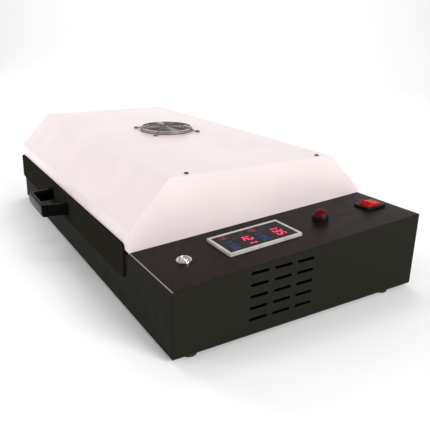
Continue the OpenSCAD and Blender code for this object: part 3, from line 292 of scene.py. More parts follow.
def mouldedPlastic(name, dark, light, rough, sizeMm=1.5, heightMm=0.015, coat=0.0, gloss=0.5):
    # Injection-moulded nylon or ABS: an even colour with a light spark-eroded skin
    look, tree, shader, place = newLook(name, **{"Roughness": rough, "IOR": 1.52, "Coat Weight": coat,
                                                 "Coat Roughness": 0.12, "Specular IOR Level": gloss})
    coloured(tree, shader, grain(tree, place, 18), dark, light)
    roughened(tree, shader, grain(tree, place, 6), rough - 0.04, rough + 0.05)
    raised(tree, shader, grain(tree, place, sizeMm), heightMm, 0.4)
    return look


def sheetMetal(name, dark, light, rough, sizeMm, stretch=None, heightMm=0.002):
    # Rolled or drawn metal: fine lines along the working direction, and slow changes of tone
    look, tree, shader, place = newLook(name, **{"Metallic": 1.0})
    coloured(tree, shader, grain(tree, place, 25), dark, light)
    lines = grain(tree, place, sizeMm, 3.0, stretch)
    roughened(tree, shader, lines, rough - 0.07, rough + 0.09)
    raised(tree, shader, lines, heightMm, 0.35)
    return look


def galvanisedSheet():
    # Hot-dipped zinc on steel: flat crystals about 12 mm across, each with its own grey and gloss
    look, tree, shader, place = newLook("galvanised sheet", **{"Metallic": 1.0})
    spangle = addNode(tree, "ShaderNodeTexVoronoi", {"Scale": perMetre(12)}, {"Vector": place})
    channels = addNode(tree, "ShaderNodeSeparateColor", links={"Color": spangle.outputs["Color"]})
    tone = channels.outputs["Red"]
    coloured(tree, shader, tone, "#8f9294", "#b4b7b8")
    roughened(tree, shader, tone, 0.3, 0.5)
    return look


def mineralWool():
    # Bonded rock fibre board: matted yellow-brown fibres, fully matt
    look, tree, shader, place = newLook("mineral wool board", **{"Roughness": 0.95})
    fibres = grain(tree, place, 1.2, 6.0, (1, 0.25, 1))
    coloured(tree, shader, fibres, "#8d7a4c", "#c9b684")
    raised(tree, shader, fibres, 0.6, 0.8)
    return look


def quartzGlass():
    # Fused quartz tube, clear, with the heating wire's tan showing through
    look, tree, shader, place = newLook("fused quartz", **{
        "Roughness": 0.08, "IOR": 1.46, "Transmission Weight": 0.35})
    wire = addNode(tree, "ShaderNodeTexWave", {"Scale": perMetre(6), "Distortion": 0.3}, {"Vector": place})
    coloured(tree, shader, wire.outputs["Fac"], "#b98f72", "#ead6c6")
    return look


def glowingPlastic(name, colour, rough, glow, clear=0.0, coat=0.5, gloss=0.2):
    # Tinted polycarbonate lit from behind: saturated and glossy
    look, tree, shader, place = newLook(name, **{
        "Roughness": rough, "IOR": 1.58, "Transmission Weight": clear, "Coat Weight": coat,
        "Coat Roughness": 0.05, "Emission Strength": glow, "Specular IOR Level": gloss})
    shade = tinted(tree, grain(tree, place, 7), colour[0], colour[1])
    tree.links.new(shade, shader.inputs["Base Color"])
    tree.links.new(shade, shader.inputs["Emission Color"])
    return look


looks = {
    "whiteCoat": glossPowderCoat(),
    "blackCoat": satinPowderCoat("satin powder coat, black", "#1d1d18", "#262520", 0.55, 0.03, 0.015),
    "plateCoat": satinPowderCoat("satin powder coat, plate", "#1f1d19", "#282620", 0.6, 0.03, 0.0),
    "stripCoat": satinPowderCoat("satin powder coat, dark grey", "#170e0d", "#201413", 0.36, 0.03, 0.055),
    # Painted highlight for the strip's front fold
    "paintedFoldHighlight": paintedFoldHighlight(),
    "blackPlastic": mouldedPlastic("glass-filled nylon, moulded black", "#0d0c0c", "#141313", 0.42,
                                   gloss=0.2),
    "handlePlastic": mouldedPlastic("ABS, moulded gloss black", "#030202", "#050404", 0.24, gloss=0.05),
    "rubber": mouldedPlastic("natural rubber, moulded", "#141414", "#1d1d1c", 0.7, 1.0, 0.05),
    "bezel": mouldedPlastic("ABS, moulded silver grey", "#b3afac", "#c6c2bf", 0.33, 1.2, 0.02, 0.2),
    "screen": mouldedPlastic("polyester film, smoked", "#1b1719", "#262023", 0.42, 8.0, 0.004,
                             gloss=0.08),
    "wire": mouldedPlastic("silicone rubber, extruded", "#5a1712", "#7a2018", 0.55),
    "relayCase": mouldedPlastic("polycarbonate, moulded cream", "#d8d2c2", "#e6e1d4", 0.4),
    "ceramic": mouldedPlastic("steatite, fired unglazed", "#d5cebd", "#e8e2d3", 0.62, 0.8, 0.04),
    "digits": glowingPlastic("lit segments, red", ("#da1044", "#f2205f"), 0.4, 1.0),
    "lampRed": glowingPlastic("polycarbonate, clear red", ("#3c0409", "#62090f"), 0.34, 0.08,
                              clear=0.05, coat=0.0, gloss=0.04),
    "rockerRed": glowingPlastic("polycarbonate, rocker red", ("#98120d", "#c81e16"), 0.36, 0.2,
                                clear=0.1, coat=0.0, gloss=0.08),
    "chrome": sheetMetal("nickel-plated brass, polished", "#c9c4c0", "#dedad6", 0.16, 0.5),
    "guardWire": sheetMetal("steel wire, nickel-plated", "#6a6562", "#8a8480", 0.3, 0.8),
    "zincSteel": sheetMetal("steel, zinc-plated", "#85837f", "#a3a19c", 0.34, 0.7),
    "darkScrew": sheetMetal("steel, blackened", "#3c3734", "#544e4a", 0.38, 0.7),
    "stainless": sheetMetal("stainless sheet, rolled bright", "#b4b4b1", "#c2c2bf", 0.3, 0.7,
                            (0.03, 1, 1), 0.0005),
    "extruded": sheetMetal("aluminium, extruded", "#9a9c9e", "#b7b9ba", 0.36, 0.7, (1, 0.03, 1)),
    "copper": sheetMetal("copper, cold rolled", "#a4623c", "#c47f55", 0.3, 0.7, (1, 0.03, 1)),
    "galvanised": galvanisedSheet(),
    "wool": mineralWool(),
    "quartz": quartzGlass(),
    "blueFilm": mouldedPlastic("printed film, blue", "#2b3766", "#3a4882", 0.42, 6.0, 0.004,
                               gloss=0.08),
    "orangeFilm": mouldedPlastic("printed film, orange", "#6e3422", "#8a4630", 0.42, 6.0, 0.004,
                                 gloss=0.08),
}

nodeLooks = {
    "base_tray": "blackCoat", "control_cover": "stripCoat", "hood_wrap": "whiteCoat",
    "hood_end_left": "whiteCoat", "hood_end_right": "whiteCoat", "hood_screws": "darkScrew",
    "rear_screws": "darkScrew", "side_plate_left": "galvanised", "side_plate_right": "galvanised",
    "chamber_liner": "stainless", "hood_insulation": "wool", "floor_shield": "stainless",
    "floor_insulation": "wool", "heater_caps": "ceramic", "busbars": "copper",
    "thermocouple": "zincSteel", "fan_frame": "blackPlastic", "fan_rotor": "blackPlastic",
    "fan_guard": "guardWire", "fan_screws": "zincSteel", "controller_case": "blackPlastic",
    "controller_bezel": "bezel", "controller_face": "screen", "display_digits": "digits",
    "controller_keys": "blueFilm", "button_housing": "chrome", "button_cap": "chrome",
    "panel_nuts": "zincSteel", "lamp_base": "blackPlastic", "lamp_lens": "lampRed",
    "switch_frame": "blackPlastic", "switch_rocker": "rockerRed", "mains_inlet": "blackPlastic",
    "relay_heatsink": "extruded", "solid_state_relay": "relayCase", "terminal_block": "blackPlastic",
    "cable_grommets": "rubber", "wiring_loom": "wire", "foot_screws": "zincSteel",
    "runner_fixed_left": "galvanised", "runner_fixed_right": "galvanised",
    "runner_middle_left": "galvanised", "runner_middle_right": "galvanised",
    "runner_inner_left": "galvanised", "runner_inner_right": "galvanised",
    "drawer_front": "plateCoat", "drawer_handle": "handlePlastic", "handle_screws": "zincSteel",
    "drawer_tray": "stainless", "tray_end_walls": "stainless", "tray_rack": "zincSteel",
}
for name in nodes:
    if name.startswith("foot_") and name not in nodeLooks:
        nodeLooks[name] = "rubber"
    if name.startswith("heater_tube_"):
        nodeLooks[name] = "quartz"
for name, look in nodeLooks.items():
    nodes[name].data.materials.clear()
    nodes[name].data.materials.append(looks[look])
print("materials made:", len(looks))

bodyOf = {n: b for b, names in frame["record"]["behaviour"]["bodies"].items() for n in names}


# Shapes. A shape is an array of points and a list of faces, and shapes are joined by stacking them.

def joined(*shapes):
    offsets = np.cumsum([0] + [len(points) for points, _ in shapes[:-1]])
    faces = [[i + int(o) for i in face] for (_, quads), o in zip(shapes, offsets) for face in quads]
    return np.vstack([points for points, _ in shapes]), faces


def moved(shape, matrix):
    points, faces = shape
    m = np.array(matrix)
    return points @ m[:3, :3].T + m[:3, 3], faces


def turnedShape(profile, steps):
    # A profile of radius and height turned round Z: each point goes to radius times cosine and sine
    profile = np.array(profile, float)
    angle = np.linspace(0, 2 * np.pi, steps, endpoint=False)
    radius, height = profile[:, :1], profile[:, 1:]
    points = np.stack([radius * np.cos(angle), radius * np.sin(angle), height + 0 * angle], axis=-1)
    return gridShape(points, closeV=True)


def prismShape(outline, low, high):
    # A closed outline carried straight from low to high along Z, with both ends filled
    outline = np.array(outline, float)
    ends = np.stack([np.column_stack([outline, np.full(len(outline), z)]) for z in (low, high)])
    points, faces = gridShape(ends, closeV=True)
    n = len(outline)
    return points, faces + [list(range(n)), list(range(2 * n - 1, n - 1, -1))]


def tubeShape(path, radius, closed=False, sides=12):
    # A circle carried along a path, held square to the path's direction
    path = np.array(path, float)
    if closed:
        ahead = np.roll(path, -1, 0) - np.roll(path, 1, 0)
    else:
        ahead = np.gradient(path, axis=0)
    ahead /= np.linalg.norm(ahead, axis=1, keepdims=True)
    helper = np.where(np.abs(ahead[:, 2:]) < 0.9, [[0, 0, 1.0]], [[1.0, 0, 0]])
    across = np.cross(ahead, helper)
    across /= np.linalg.norm(across, axis=1, keepdims=True)
    up = np.cross(across, ahead)
    angle = np.linspace(0, 2 * np.pi, sides, endpoint=False)
    ring = np.cos(angle)[None, :, None] * across[:, None] + np.sin(angle)[None, :, None] * up[:, None]
    points, faces = gridShape(path[:, None] + radius * ring, closeU=closed, closeV=True)
    if not closed:
        last = (len(path) - 1) * sides
        faces += [list(range(sides)), list(range(last + sides - 1, last - 1, -1))]
    return points, faces


def roundedCorners(points, radius, steps):
    # Replaces each corner of a closed outline by an arc that touches both its sides
    points = np.array(points, float)
    before, after = np.roll(points, 1, 0) - points, np.roll(points, -1, 0) - points
    before /= np.linalg.norm(before, axis=1, keepdims=True)
    after /= np.linalg.norm(after, axis=1, keepdims=True)
    half = np.arccos(np.clip((before * after).sum(1), -1, 1)) / 2
    reach = radius / np.tan(half)
    start, end = points + before * reach[:, None], points + after * reach[:, None]
    middle = (before + after) / np.linalg.norm(before + after, axis=1, keepdims=True)
    centre = points + middle * (radius / np.sin(half))[:, None]
    share = np.linspace(0, 1, steps)[None, :, None]
    spoke = (1 - share) * (start - centre)[:, None] + share * (end - centre)[:, None]
    spoke *= radius / np.linalg.norm(spoke, axis=2, keepdims=True)
    return (centre[:, None] + spoke).reshape(-1, 2)


def rectangle(width, length):
    x, y = width / 2, length / 2
    return [(-x, -y), (x, -y), (x, y), (-x, y)]


def onStrip(fromRight, fromFront, up=0.0):
    # Stands a shape on the sloping strip, square to it
    place = Matrix.Translation((body["right"] - fromRight, body["front"] + fromFront,
                                body["under"] + body["stripFront"] + fromFront * stripTan))
    return place @ Matrix.Rotation(math.atan(stripTan), 4, "X") @ Matrix.Translation((0, 0, up))


mergeReach = 0.001 * mm         # points nearer than this are one point


def newPiece(name, shape, look):
    points, faces = shape
    mesh = bpy.data.meshes.new(name)
    mesh.from_pydata(points.tolist(), [], faces)
    work = bmesh.new()
    work.from_mesh(mesh)
    bmesh.ops.remove_doubles(work, verts=work.verts, dist=mergeReach)
    bmesh.ops.recalc_face_normals(work, faces=work.faces)
    work.to_mesh(mesh)
    work.free()
    piece = bpy.data.objects.new(name, mesh)
    bpy.context.scene.collection.objects.link(piece)
    mesh.materials.append(looks[look])
    return piece


def addPiece(name, shape, look, standsFor, bevel=None, smooth=30):
    finishPiece(newPiece(name, shape, look), standsFor, bevel, smooth)


def finishPiece(piece, standsFor, bevel, smooth):
    # Shades faces smooth up to an angle in degrees, rounds edges, hides the parts it stands for and hangs it
    # on their body
    piece.data.polygons.foreach_set("use_smooth", np.ones(len(piece.data.polygons), bool))
    piece.data.set_sharp_from_angle(angle=math.radians(smooth))
    if bevel:
        soften(piece, bevel)
    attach(piece, bodyOf[standsFor[0]])
    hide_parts(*standsFor)


def soften(piece, width, shortest=3 * mm, sharpest=25):
    # Rounds the long sharp edges, which catch the light, and leaves the rims of small holes alone
    work = bmesh.new()
    work.from_mesh(piece.data)
    weight = work.edges.layers.float.new("bevel_weight_edge")
    for edge in work.edges:
        if len(edge.link_faces) == 2 and edge.calc_length() > shortest:
            if edge.calc_face_angle(0) > math.radians(sharpest):
                edge[weight] = 1
    work.to_mesh(piece.data)
    work.free()
    bevel = piece.modifiers.new("rounded edges", "BEVEL")
    bevel.limit_method = "WEIGHT"
    bevel.width = width
    bevel.segments = 3
    bevel.use_clamp_overlap = False
    bevel.harden_normals = True


flatAngle = 0.5                 # degrees between faces that are merged into one


def softenedNode(node, width, pieceName):
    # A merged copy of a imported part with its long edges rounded
    mesh = nodes[node].data.copy()
    mesh.name = pieceName
    work = bmesh.new()
    work.from_mesh(mesh)
    bmesh.ops.remove_doubles(work, verts=work.verts, dist=mergeReach)
    bmesh.ops.dissolve_limit(work, angle_limit=math.radians(flatAngle), verts=work.verts, edges=work.edges)
    work.to_mesh(mesh)
    work.free()
    piece = bpy.data.objects.new(pieceName, mesh)
    bpy.context.scene.collection.objects.link(piece)
    finishPiece(piece, [node], width, 30)
    return piece


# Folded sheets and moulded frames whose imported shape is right, with their long edges rounded

sheetBends = {"base_tray": 0.9 * mm, "control_cover": 0.9 * mm,
              "hood_end_left": 0.4 * mm, "hood_end_right": 0.4 * mm, "controller_bezel": 0.7 * mm,
              "switch_frame": 0.6 * mm}
sheets = {node: softenedNode(node, width, node.replace("_", " ").title().replace(" ", "") + "Sheet")
          for node, width in sheetBends.items()}


def paintCover(piece):
    # The strip's front fold, whose faces look forwards and up at once, gets a painted highlight. The
    # right-hand face, whose faces look sideways, gets the base's cooler black: painted shading that sets the
    # side apart from the strip, though both are one coat.
    piece.data.materials.append(looks["paintedFoldHighlight"])
    piece.data.materials.append(looks["blackCoat"])
    normals = np.empty(len(piece.data.polygons) * 3)
    centres = np.empty_like(normals)
    piece.data.polygons.foreach_get("normal", normals)
    piece.data.polygons.foreach_get("center", centres)
    normals, centres = normals.reshape(-1, 3), centres.reshape(-1, 3)
    # Faces that get the painted highlight
    fold = (normals[:, 1] < -paintedLightMasks["slant"]) & (normals[:, 2] > paintedLightMasks["slant"])
    fold &= centres[:, 1] < body["front"] + paintedLightMasks["reach"]
    # Painted shading: faces that look sideways take the base's black in place of the strip's coat
    side = np.abs(normals[:, 0]) > paintedLightMasks["upright"]
    piece.data.polygons.foreach_set("material_index", (fold + 2 * side).astype(np.int32))


paintCover(sheets["control_cover"])


# Drawer plate: a shallow pan with a rolled rim and round corners

drawerPlate = {"corner": 8 * mm, "sheet": 1.5 * mm, "bend": 2.4 * mm, "cornerSteps": 9, "bendSteps": 7,
               "sharpest": 0.05 * mm, "tightest": 0.1 * mm}


def roundedRings(size, radius, insets, heights):
    # Rounded oblongs, one for each inset and height, with as many points each
    rings = []
    for inset, height in zip(insets, heights):
        corner = max(radius - inset, drawerPlate["sharpest"])
        ring = roundedCorners(rectangle(size[0] - 2 * inset, size[1] - 2 * inset), corner,
                              drawerPlate["cornerSteps"])
        rings.append(np.column_stack([ring, np.full(len(ring), height)]))
    return np.stack(rings)


def panShape(size, depth):
    # A shallow pan with its floor outside: the rim turns into the floor by a quarter circle
    radius, thickness, bend = (drawerPlate[k] for k in ("corner", "sheet", "bend"))
    turn = np.linspace(0, np.pi / 2, drawerPlate["bendSteps"])
    inside = max(bend - thickness, drawerPlate["tightest"])
    insets = np.concatenate([thickness + inside * (1 - np.cos(turn))[::-1], [thickness, 0],
                             bend * (1 - np.cos(turn))])
    heights = np.concatenate([depth - thickness - inside * (1 - np.sin(turn))[::-1], [0, 0],
                              depth - bend * (1 - np.sin(turn))])
    points = roundedRings(size, radius, insets, heights)
    shape, faces = gridShape(points, closeV=True)
    n = points.shape[1]
    return shape, faces + [list(range(n)), list(range(len(shape) - 1, len(shape) - n - 1, -1))]


def makeDrawerPlate():
    low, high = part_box("drawer_front")
    shape = panShape((high.x - low.x, high.z - low.z), high.y - low.y)
    middle = (low + high) / 2
    place = Matrix(((1, 0, 0, middle.x), (0, 0, -1, high.y), (0, 1, 0, middle.z), (0, 0, 0, 1)))
    addPiece("drawerPlate", moved(shape, place), "plateCoat", ["drawer_front"], smooth=40)


makeDrawerPlate()
print("sheets and drawer plate made")


# Hood: one folded sheet with a round hole over the fan. Heights are above the body's underside.

hood = {"skirtTop": 140.5 * mm, "top": 216.5 * mm, "low": 104.5 * mm, "frontRun": 71 * mm,
        "backRun": 81 * mm, "sheet": 1.2 * mm, "bend": 3.0 * mm, "bendSteps": 8,
        "fanRadius": 58 * mm, "fanSteps": 96, "cutDepth": 5 * mm, "smooth": 20}


def bentSheet(path, thickness, bend):
    # Outline of a sheet folded along a path: the path with its bends as arcs, and back again
    # a thickness further in, with smaller arcs
    def bentPath(points, radius):
        steps = hood["bendSteps"]
        corners = roundedCorners(points, radius, steps).reshape(len(points), steps, 2)
        return np.vstack([points[:1], corners[1:-1].reshape(-1, 2), points[-1:]])

    path = np.array(path, float)
    along = np.diff(path, axis=0)
    along /= np.linalg.norm(along, axis=1, keepdims=True)
    normal = np.column_stack([along[:, 1], -along[:, 0]])
    ends = np.vstack([normal[:1], (normal[:-1] + normal[1:]), normal[-1:]])
    ends /= np.linalg.norm(ends, axis=1, keepdims=True)
    cosine = np.concatenate([[1], np.sqrt((1 + (normal[:-1] * normal[1:]).sum(1)) / 2), [1]])
    inner = path + ends * (thickness / cosine)[:, None]
    return np.vstack([bentPath(path, bend), bentPath(inner, bend - thickness)[::-1]])


def cutRound(piece, centre, radius, depth):
    # Cuts a round hole along Z through a piece
    angle = np.linspace(0, 2 * np.pi, hood["fanSteps"], endpoint=False)
    points, faces = prismShape(radius * np.column_stack([np.cos(angle), np.sin(angle)]), -depth, depth)
    mesh = bpy.data.meshes.new("cutter")
    mesh.from_pydata((points + np.array(centre)).tolist(), [], faces)
    cutter = bpy.data.objects.new("cutter", mesh)
    bpy.context.scene.collection.objects.link(cutter)
    cut = piece.modifiers.new("hole", "BOOLEAN")
    cut.operation = "DIFFERENCE"
    cut.solver = "EXACT"
    cut.object = cutter
    done = bpy.data.meshes.new_from_object(piece.evaluated_get(bpy.context.evaluated_depsgraph_get()))
    piece.modifiers.clear()
    piece.data = done
    bpy.data.objects.remove(cutter)


def makeHood():
    low, high = hoodBox
    depth = body["depth"]
    profile = [(0, hood["low"]), (0, hood["skirtTop"]), (hood["frontRun"], hood["top"]),
               (depth - hood["backRun"], hood["top"]), (depth, hood["skirtTop"]), (depth, hood["low"])]
    outline = bentSheet(profile, hood["sheet"], hood["bend"])
    shape = prismShape(outline, low.x, high.x)
    along = Matrix(((0, 0, 1, 0), (1, 0, 0, body["front"]), (0, 1, 0, body["under"]), (0, 0, 0, 1)))
    piece = newPiece("hoodWrap", moved(shape, along), "whiteCoat")
    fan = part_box("fan_frame")
    centre = ((fan[0].x + fan[1].x) / 2, (fan[0].y + fan[1].y) / 2, high.z)
    cutRound(piece, centre, hood["fanRadius"], hood["cutDepth"])
    finishPiece(piece, ["hood_wrap"], None, hood["smooth"])


makeHood()
print("hood made")


# Fan guard: rings of wire on four legs. Rings and eyes are given by their diameters, and the pitch is
# from one eye to the next.

guard = {"wire": 2.2 * mm, "height": 10 * mm, "rings": 7, "inner": 18 * mm, "top": 110 * mm,
         "low": 118 * mm, "lowest": 1.54 * mm, "eye": 7.4 * mm, "pitch": 105 * mm,
         "shoulder": 1 * mm, "overhang": 1.2 * mm, "toe": 3 * mm, "smooth": 60}


def circlePath(diameter, height, steps=96, across=0.0):
    # A circle level with the hood's top, its centre moved along X
    angle = np.linspace(0, 2 * np.pi, steps, endpoint=False)
    return np.column_stack([across + diameter / 2 * np.cos(angle), diameter / 2 * np.sin(angle),
                            np.full(steps, height)])


def makeGuard():
    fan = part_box("fan_frame")
    place = Matrix.Translation(((fan[0].x + fan[1].x) / 2, (fan[0].y + fan[1].y) / 2, hoodBox[1].z))
    wire = guard["wire"] / 2
    crown = guard["height"] - wire
    eyeAt = guard["pitch"] / math.sqrt(2)
    shapes = [tubeShape(circlePath(d, crown), wire, True)
              for d in np.linspace(guard["inner"], guard["top"], guard["rings"])]
    shapes += [tubeShape(circlePath(guard["low"], h), wire, True)
               for h in (guard["height"] / 2, guard["lowest"])]
    # A leg runs out along the crown, over the shoulder and down to its eye
    edge, toe, drop = guard["top"] / 2, eyeAt - guard["eye"] / 2, guard["shoulder"]
    leg = [(guard["inner"] / 2, crown), (edge - drop, crown), (edge + guard["overhang"], crown - drop),
           (guard["low"] / 2, guard["height"] / 2), (toe - guard["toe"], wire + drop), (toe, wire)]
    for turn in (45, 135, 225, 315):
        spun = Matrix.Rotation(math.radians(turn), 4, "Z")
        shapes.append(moved(tubeShape([(r, 0, z) for r, z in leg], wire), spun))
        shapes.append(moved(tubeShape(circlePath(guard["eye"], wire, 32, eyeAt), wire, True), spun))
    addPiece("fanGuard", moved(joined(*shapes), place), "guardWire", ["fan_guard"], smooth=guard["smooth"])


makeGuard()


# Screws: pan heads with a cross, on plain shanks

screw = {"head": 8 * mm, "rise": 2.4 * mm, "shank": 4 * mm, "cross": 1.1 * mm, "reach": 2.6 * mm,
         "deep": 1.3 * mm, "point": 0.6 * mm, "crown": 0.45, "roll": 0.25, "rim": 0.3,
         "rings": 13, "steps": 64, "smooth": 35, "hoodLength": 6 * mm, "guardLength": 16 * mm}


def screwShape(length):
    # Head height at a share r of the radius: rise times 1 - crown r^2 - roll r^8, less the cross, which
    # is a slot along each of the two axes that ends at its reach
    r = np.linspace(0, 1, screw["rings"])[:, None]
    a = np.linspace(0, 2 * np.pi, screw["steps"], endpoint=False)[None, :]
    x, y = r * np.cos(a) * screw["head"] / 2, r * np.sin(a) * screw["head"] / 2
    dome = screw["rise"] * (1 - screw["crown"] * r ** 2 - screw["roll"] * r ** 8)
    slot = (np.minimum(np.abs(x), np.abs(y)) < screw["cross"] / 2) & (np.hypot(x, y) < screw["reach"])
    top = np.stack([x, y, dome + 0 * a - screw["deep"] * slot], axis=-1)
    head, shank, point = screw["head"] / 2, screw["shank"] / 2, screw["point"]
    rim = [(head, screw["rise"] * screw["rim"]), (head, 0), (shank, 0),
           (shank, -length + point), (shank - point, -length), (0, -length)]
    return joined(gridShape(top, closeV=True), turnedShape(rim, screw["steps"]))


def screwsAt(name, node, places, length, look):
    # Upright screws with the undersides of their heads at the places
    shapes = [moved(screwShape(length), Matrix.Translation(place)) for place in places]
    addPiece(name, joined(*shapes), look, [node], smooth=screw["smooth"])


def makeScrews():
    low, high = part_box("hood_screws")
    half = screw["head"] / 2
    x = (low.x + high.x) / 2
    places = [(x, y, hoodBox[1].z) for y in (low.y + half, high.y - half)]
    screwsAt("hoodScrews", "hood_screws", places, screw["hoodLength"], "darkScrew")
    low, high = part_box("fan_screws")
    places = [(x, y, high.z - screw["rise"])
              for x in (low.x + half, high.x - half) for y in (low.y + half, high.y - half)]
    screwsAt("guardScrews", "fan_screws", places, screw["guardLength"], "zincSteel")


makeScrews()
print("guard and screws made")


# Push button and lamp. Profiles are radius and height above the strip, in millimetres.

turnedSteps = 96
button = {
    "place": {"fromRight": 73 * mm, "fromFront": 58 * mm},
    # A rounded rim that rolls down to the cap, over a threaded barrel
    "ring": [(8.1, -14), (8.1, 2.6), (8.5, 3.4), (9.2, 3.9), (10.0, 4.0), (10.8, 3.9), (11.5, 3.5),
             (12.1, 2.9), (12.45, 2.0), (12.5, 0), (10.9, 0), (10.9, -30), (6.0, -30), (6.0, -14),
             (8.1, -14)],
    # A dished cap with a raised edge and a low crown in its middle
    "cap": [(0, 3.9), (1.2, 3.8), (2.4, 3.3), (3.8, 2.7), (5.4, 2.6), (6.4, 3.1), (7.0, 4.1),
            (7.4, 4.7), (7.75, 4.8), (7.95, 4.5), (8.0, 4.0), (8.0, -9), (0, -9)],
}
lamp = {
    "place": {"fromRight": 79 * mm, "fromFront": 331 * mm},
    "collar": [(11.7, 6.5), (11.7, 10.0), (12.7, 10.0), (13.2, 9.6), (13.3, 8.8), (13.8, 8.2),
               (14, 7.4), (14, 1.2), (13.7, 0), (10.9, 0), (10.9, -30), (0, -30), (0, 6.5), (11.7, 6.5)],
    "skirt": [(12.4, 10.0), (11.65, 10.0), (11.65, 6.5), (0, 6.5)],
    "radius": 12.4, "rise": 9.0, "top": 19.0, "rings": 20, "steps": 216, "ripples": 18, "ripple": 0.006,
}


def addTurned(name, profile, place, look, standsFor):
    shape = turnedShape(np.array(profile) * mm, turnedSteps)
    addPiece(name, moved(shape, onStrip(**place)), look, [standsFor], smooth=40)


def makeLens():
    # Dome of radius R and rise h: at a share s of R the height is top - q + sqrt(q^2 - (R s)^2), where
    # q = (R^2 + h^2) / 2h. Its radius ripples round as R s (1 + ripple s cos(ripples turn)), as a
    # moulded prism lens does.
    share = np.linspace(0, 1, lamp["rings"])[:, None]
    turn = np.linspace(0, 2 * np.pi, lamp["steps"], endpoint=False)[None, :]
    sphere = (lamp["radius"] ** 2 + lamp["rise"] ** 2) / (2 * lamp["rise"])
    radius = lamp["radius"] * share * (1 + lamp["ripple"] * np.cos(lamp["ripples"] * turn) * share)
    drop = np.sqrt(np.maximum(sphere ** 2 - (lamp["radius"] * share) ** 2, 0))
    height = lamp["top"] - sphere + drop + 0 * turn
    dome = np.stack([radius * np.cos(turn), radius * np.sin(turn), height], axis=-1) * mm
    skirt = turnedShape(np.array(lamp["skirt"]) * mm, lamp["steps"])
    lens = joined(gridShape(dome, closeV=True), skirt)
    addPiece("lampLens", moved(lens, onStrip(**lamp["place"])), "lampRed", ["lamp_lens"], smooth=40)


addTurned("buttonRing", button["ring"], button["place"], "chrome", "button_housing")
addTurned("buttonCap", button["cap"], button["place"], "chrome", "button_cap")
addTurned("lampCollar", lamp["collar"], lamp["place"], "blackPlastic", "lamp_base")
makeLens()
print("button and lamp made")


# Drawer handle: one bar bent to a U, with a soft oblong section

handle = {"height": 26 * mm, "reach": 52 * mm, "gripLength": 112 * mm, "footLength": 128 * mm,
          "gripThick": 10 * mm, "armThick": 13 * mm, "corner": 7 * mm, "innerCorner": 4.9 * mm,
          "cornerSteps": 10, "sides": 40, "power": 3, "smooth": 50}


def makeHandle():
    low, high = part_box("drawer_handle")
    middle = ((low.x + high.x) / 2, high.y, (low.z + high.z) / 2)
    # Outer and inner lines of the U seen from above, each with its corners as arcs. The section's
    # outline runs between them, a superellipse of power 3: |across|^3 + |tall|^3 = 1, so both are the
    # cosine and sine of an angle raised to 2/3.
    foot, end, reach = handle["footLength"] / 2, handle["gripLength"] / 2, handle["reach"]
    arm, grip, steps = handle["armThick"], handle["gripThick"], handle["cornerSteps"]
    outer = [(-foot, 0), (-end, reach), (end, reach), (foot, 0)]
    inner = [(-foot + arm, 0), (-end + arm, reach - grip), (end - arm, reach - grip), (foot - arm, 0)]

    def bowed(corners, radius):
        corners = np.array(corners, float)
        arcs = roundedCorners(corners, radius, steps).reshape(len(corners), steps, 2)
        return np.vstack([corners[:1], arcs[1:-1].reshape(-1, 2), corners[-1:]])

    outside, inside = bowed(outer, handle["corner"]), bowed(inner, handle["innerCorner"])
    centre, half = (outside + inside) / 2, (outside - inside) / 2
    turn = np.linspace(0, 2 * np.pi, handle["sides"], endpoint=False)
    power = 2 / handle["power"]
    across = np.sign(np.cos(turn)) * np.abs(np.cos(turn)) ** power
    tall = np.sign(np.sin(turn)) * np.abs(np.sin(turn)) ** power * handle["height"] / 2
    flat = centre[:, None] + half[:, None] * across[None, :, None]
    points = np.dstack([flat[..., 0] + middle[0], middle[1] - flat[..., 1],
                        middle[2] + 0 * flat[..., 0] + tall])
    shape, faces = gridShape(points, closeV=True)
    last = len(shape) - handle["sides"]
    faces += [list(range(handle["sides"])), list(range(len(shape) - 1, last - 1, -1))]
    addPiece("drawerHandle", (shape, faces), "handlePlastic", ["drawer_handle"], smooth=handle["smooth"])


makeHandle()
print("handle made")


# Power switch. Sizes in millimetres, heights from the rocker's pivot, and the tilt in degrees.

switch = {"fromRight": 76.5 * mm, "fromFront": 449 * mm, "pivot": -2, "tilt": -12, "halfWidth": 11.7,
          "halfLength": 14.0, "top": 12.0, "dip": 9.8, "hollow": 0.55, "keel": 9.0, "keelHalf": 3,
          "steps": 33, "edge": 0.5}


def makeRocker():
    # Top height at length share s: dip + (top - dip) |s| - hollow sin(pi |s|). The sides drop to a keel
    # that narrows below the pivot.
    s = np.linspace(-1, 1, switch["steps"])
    end, keel, foot = switch["halfLength"], -switch["keel"], switch["keelHalf"]
    slope = (switch["top"] - switch["dip"]) * np.abs(s)
    top = switch["dip"] + slope - switch["hollow"] * np.sin(np.pi * np.abs(s))
    outline = np.vstack([np.column_stack([end * s, top]),
                         [(end, 0), (foot, keel), (-foot, keel), (-end, 0)]]) * mm
    shape = prismShape(outline, -switch["halfWidth"] * mm, switch["halfWidth"] * mm)
    across = Matrix(((0, 0, 1, 0), (1, 0, 0, 0), (0, 1, 0, 0), (0, 0, 0, 1)))
    tilt = Matrix.Rotation(math.radians(switch["tilt"]), 4, "X")
    place = onStrip(switch["fromRight"], switch["fromFront"], switch["pivot"] * mm) @ tilt @ across
    addPiece("switchRocker", moved(shape, place), "rockerRed", ["switch_rocker"],
             bevel=switch["edge"] * mm)


makeRocker()
print("switch made")


# Controller face: lit figures and printed keys. Sizes in millimetres, places from the face's middle.

panel = {"fromRight": 79.5 * mm, "fromFront": 191.3 * mm, "face": 4.0, "film": 0.35,
         "digit": (9.5, 17.5), "pitch": 12.5, "firstDigit": -9.0, "segment": 2.6, "lean": 0.09,
         "inset": 0.55, "rows": (("135", 43.0), ("121", -15.0)), "barCorner": 0.18}
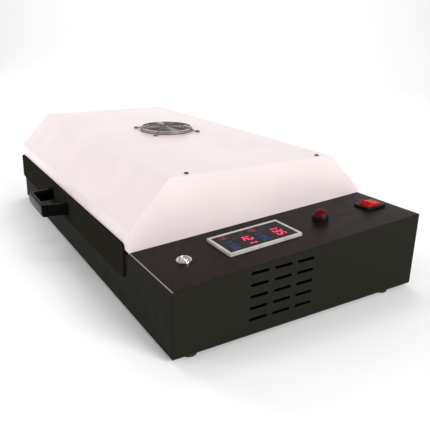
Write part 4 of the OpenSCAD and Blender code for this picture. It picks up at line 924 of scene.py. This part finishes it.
# Each key carries a few plain bars: place and size of each bar in the key
keys = {
    "rows": (9, -48), "blueColumns": (-2.7, 9.0, 20.7), "orangeColumns": (-21.5,),
    "blueBars": [(0, 4.6, 7.5, 2.4), (-2.6, 0, 2.3, 5.4), (2.2, 0.4, 3.0, 3.6), (0, -4.6, 8.5, 2.8)],
    "orangeBars": [(-4.4, 0.5, 2.6, 11), (-0.6, 2.2, 3.0, 7), (4.0, 1.0, 3.0, 10), (0, -5.0, 11, 1.8)],
}
segmentsOf = {"1": "bc", "2": "abged", "3": "abgcd", "5": "afgcd"}
segmentPlaces = {"a": (0, 1), "b": (1, 0.5), "c": (1, -0.5), "d": (0, -1), "e": (-1, -0.5),
                 "f": (-1, 0.5), "g": (0, 0)}


def segmentShape(kind, x, y):
    # One lit bar with pointed ends, leaning to the right by a fixed share of its height
    width, height = panel["digit"]
    thick = panel["segment"]
    length = width if kind in "adg" else (height + thick) / 2
    half = length / 2 - thick * panel["inset"]
    bar = np.array([(-half, 0), (-half + thick / 2, thick / 2), (half - thick / 2, thick / 2), (half, 0),
                    (half - thick / 2, -thick / 2), (-half + thick / 2, -thick / 2)])
    if kind in "bcef":
        bar = bar[:, ::-1]
    middle = np.array(segmentPlaces[kind]) * [(width - thick) / 2, (height - thick) / 2]
    bar = bar + middle
    bar[:, 0] += bar[:, 1] * panel["lean"]
    return filmShape(bar + (x, y))


def barShape(x, y, width, length):
    return filmShape(roundedCorners(rectangle(width, length), min(width, length) * panel["barCorner"], 5)
                     + (x, y))


def filmShape(outline):
    # A thin layer on the controller's face
    return prismShape(outline * mm, panel["face"] * mm, (panel["face"] + panel["film"]) * mm)


def addPrint(name, shapes, look, standsFor):
    place = onStrip(panel["fromRight"], panel["fromFront"])
    addPiece(name, moved(joined(*shapes), place), look, [standsFor])


def keyBars(columns, bars):
    return [barShape(x + dx, y + dy, width, length)
            for y in keys["rows"] for x in columns for dx, dy, width, length in bars]


lit = [segmentShape(kind, panel["firstDigit"] + i * panel["pitch"], y)
       for figures, y in panel["rows"] for i, figure in enumerate(figures) for kind in segmentsOf[figure]]
addPrint("displayFigures", lit, "digits", "display_digits")
addPrint("blueKeys", keyBars(keys["blueColumns"], keys["blueBars"]), "blueFilm", "controller_keys")
addPrint("orangeKeys", keyBars(keys["orangeColumns"], keys["orangeBars"]), "orangeFilm", "controller_keys")
print("controller made")
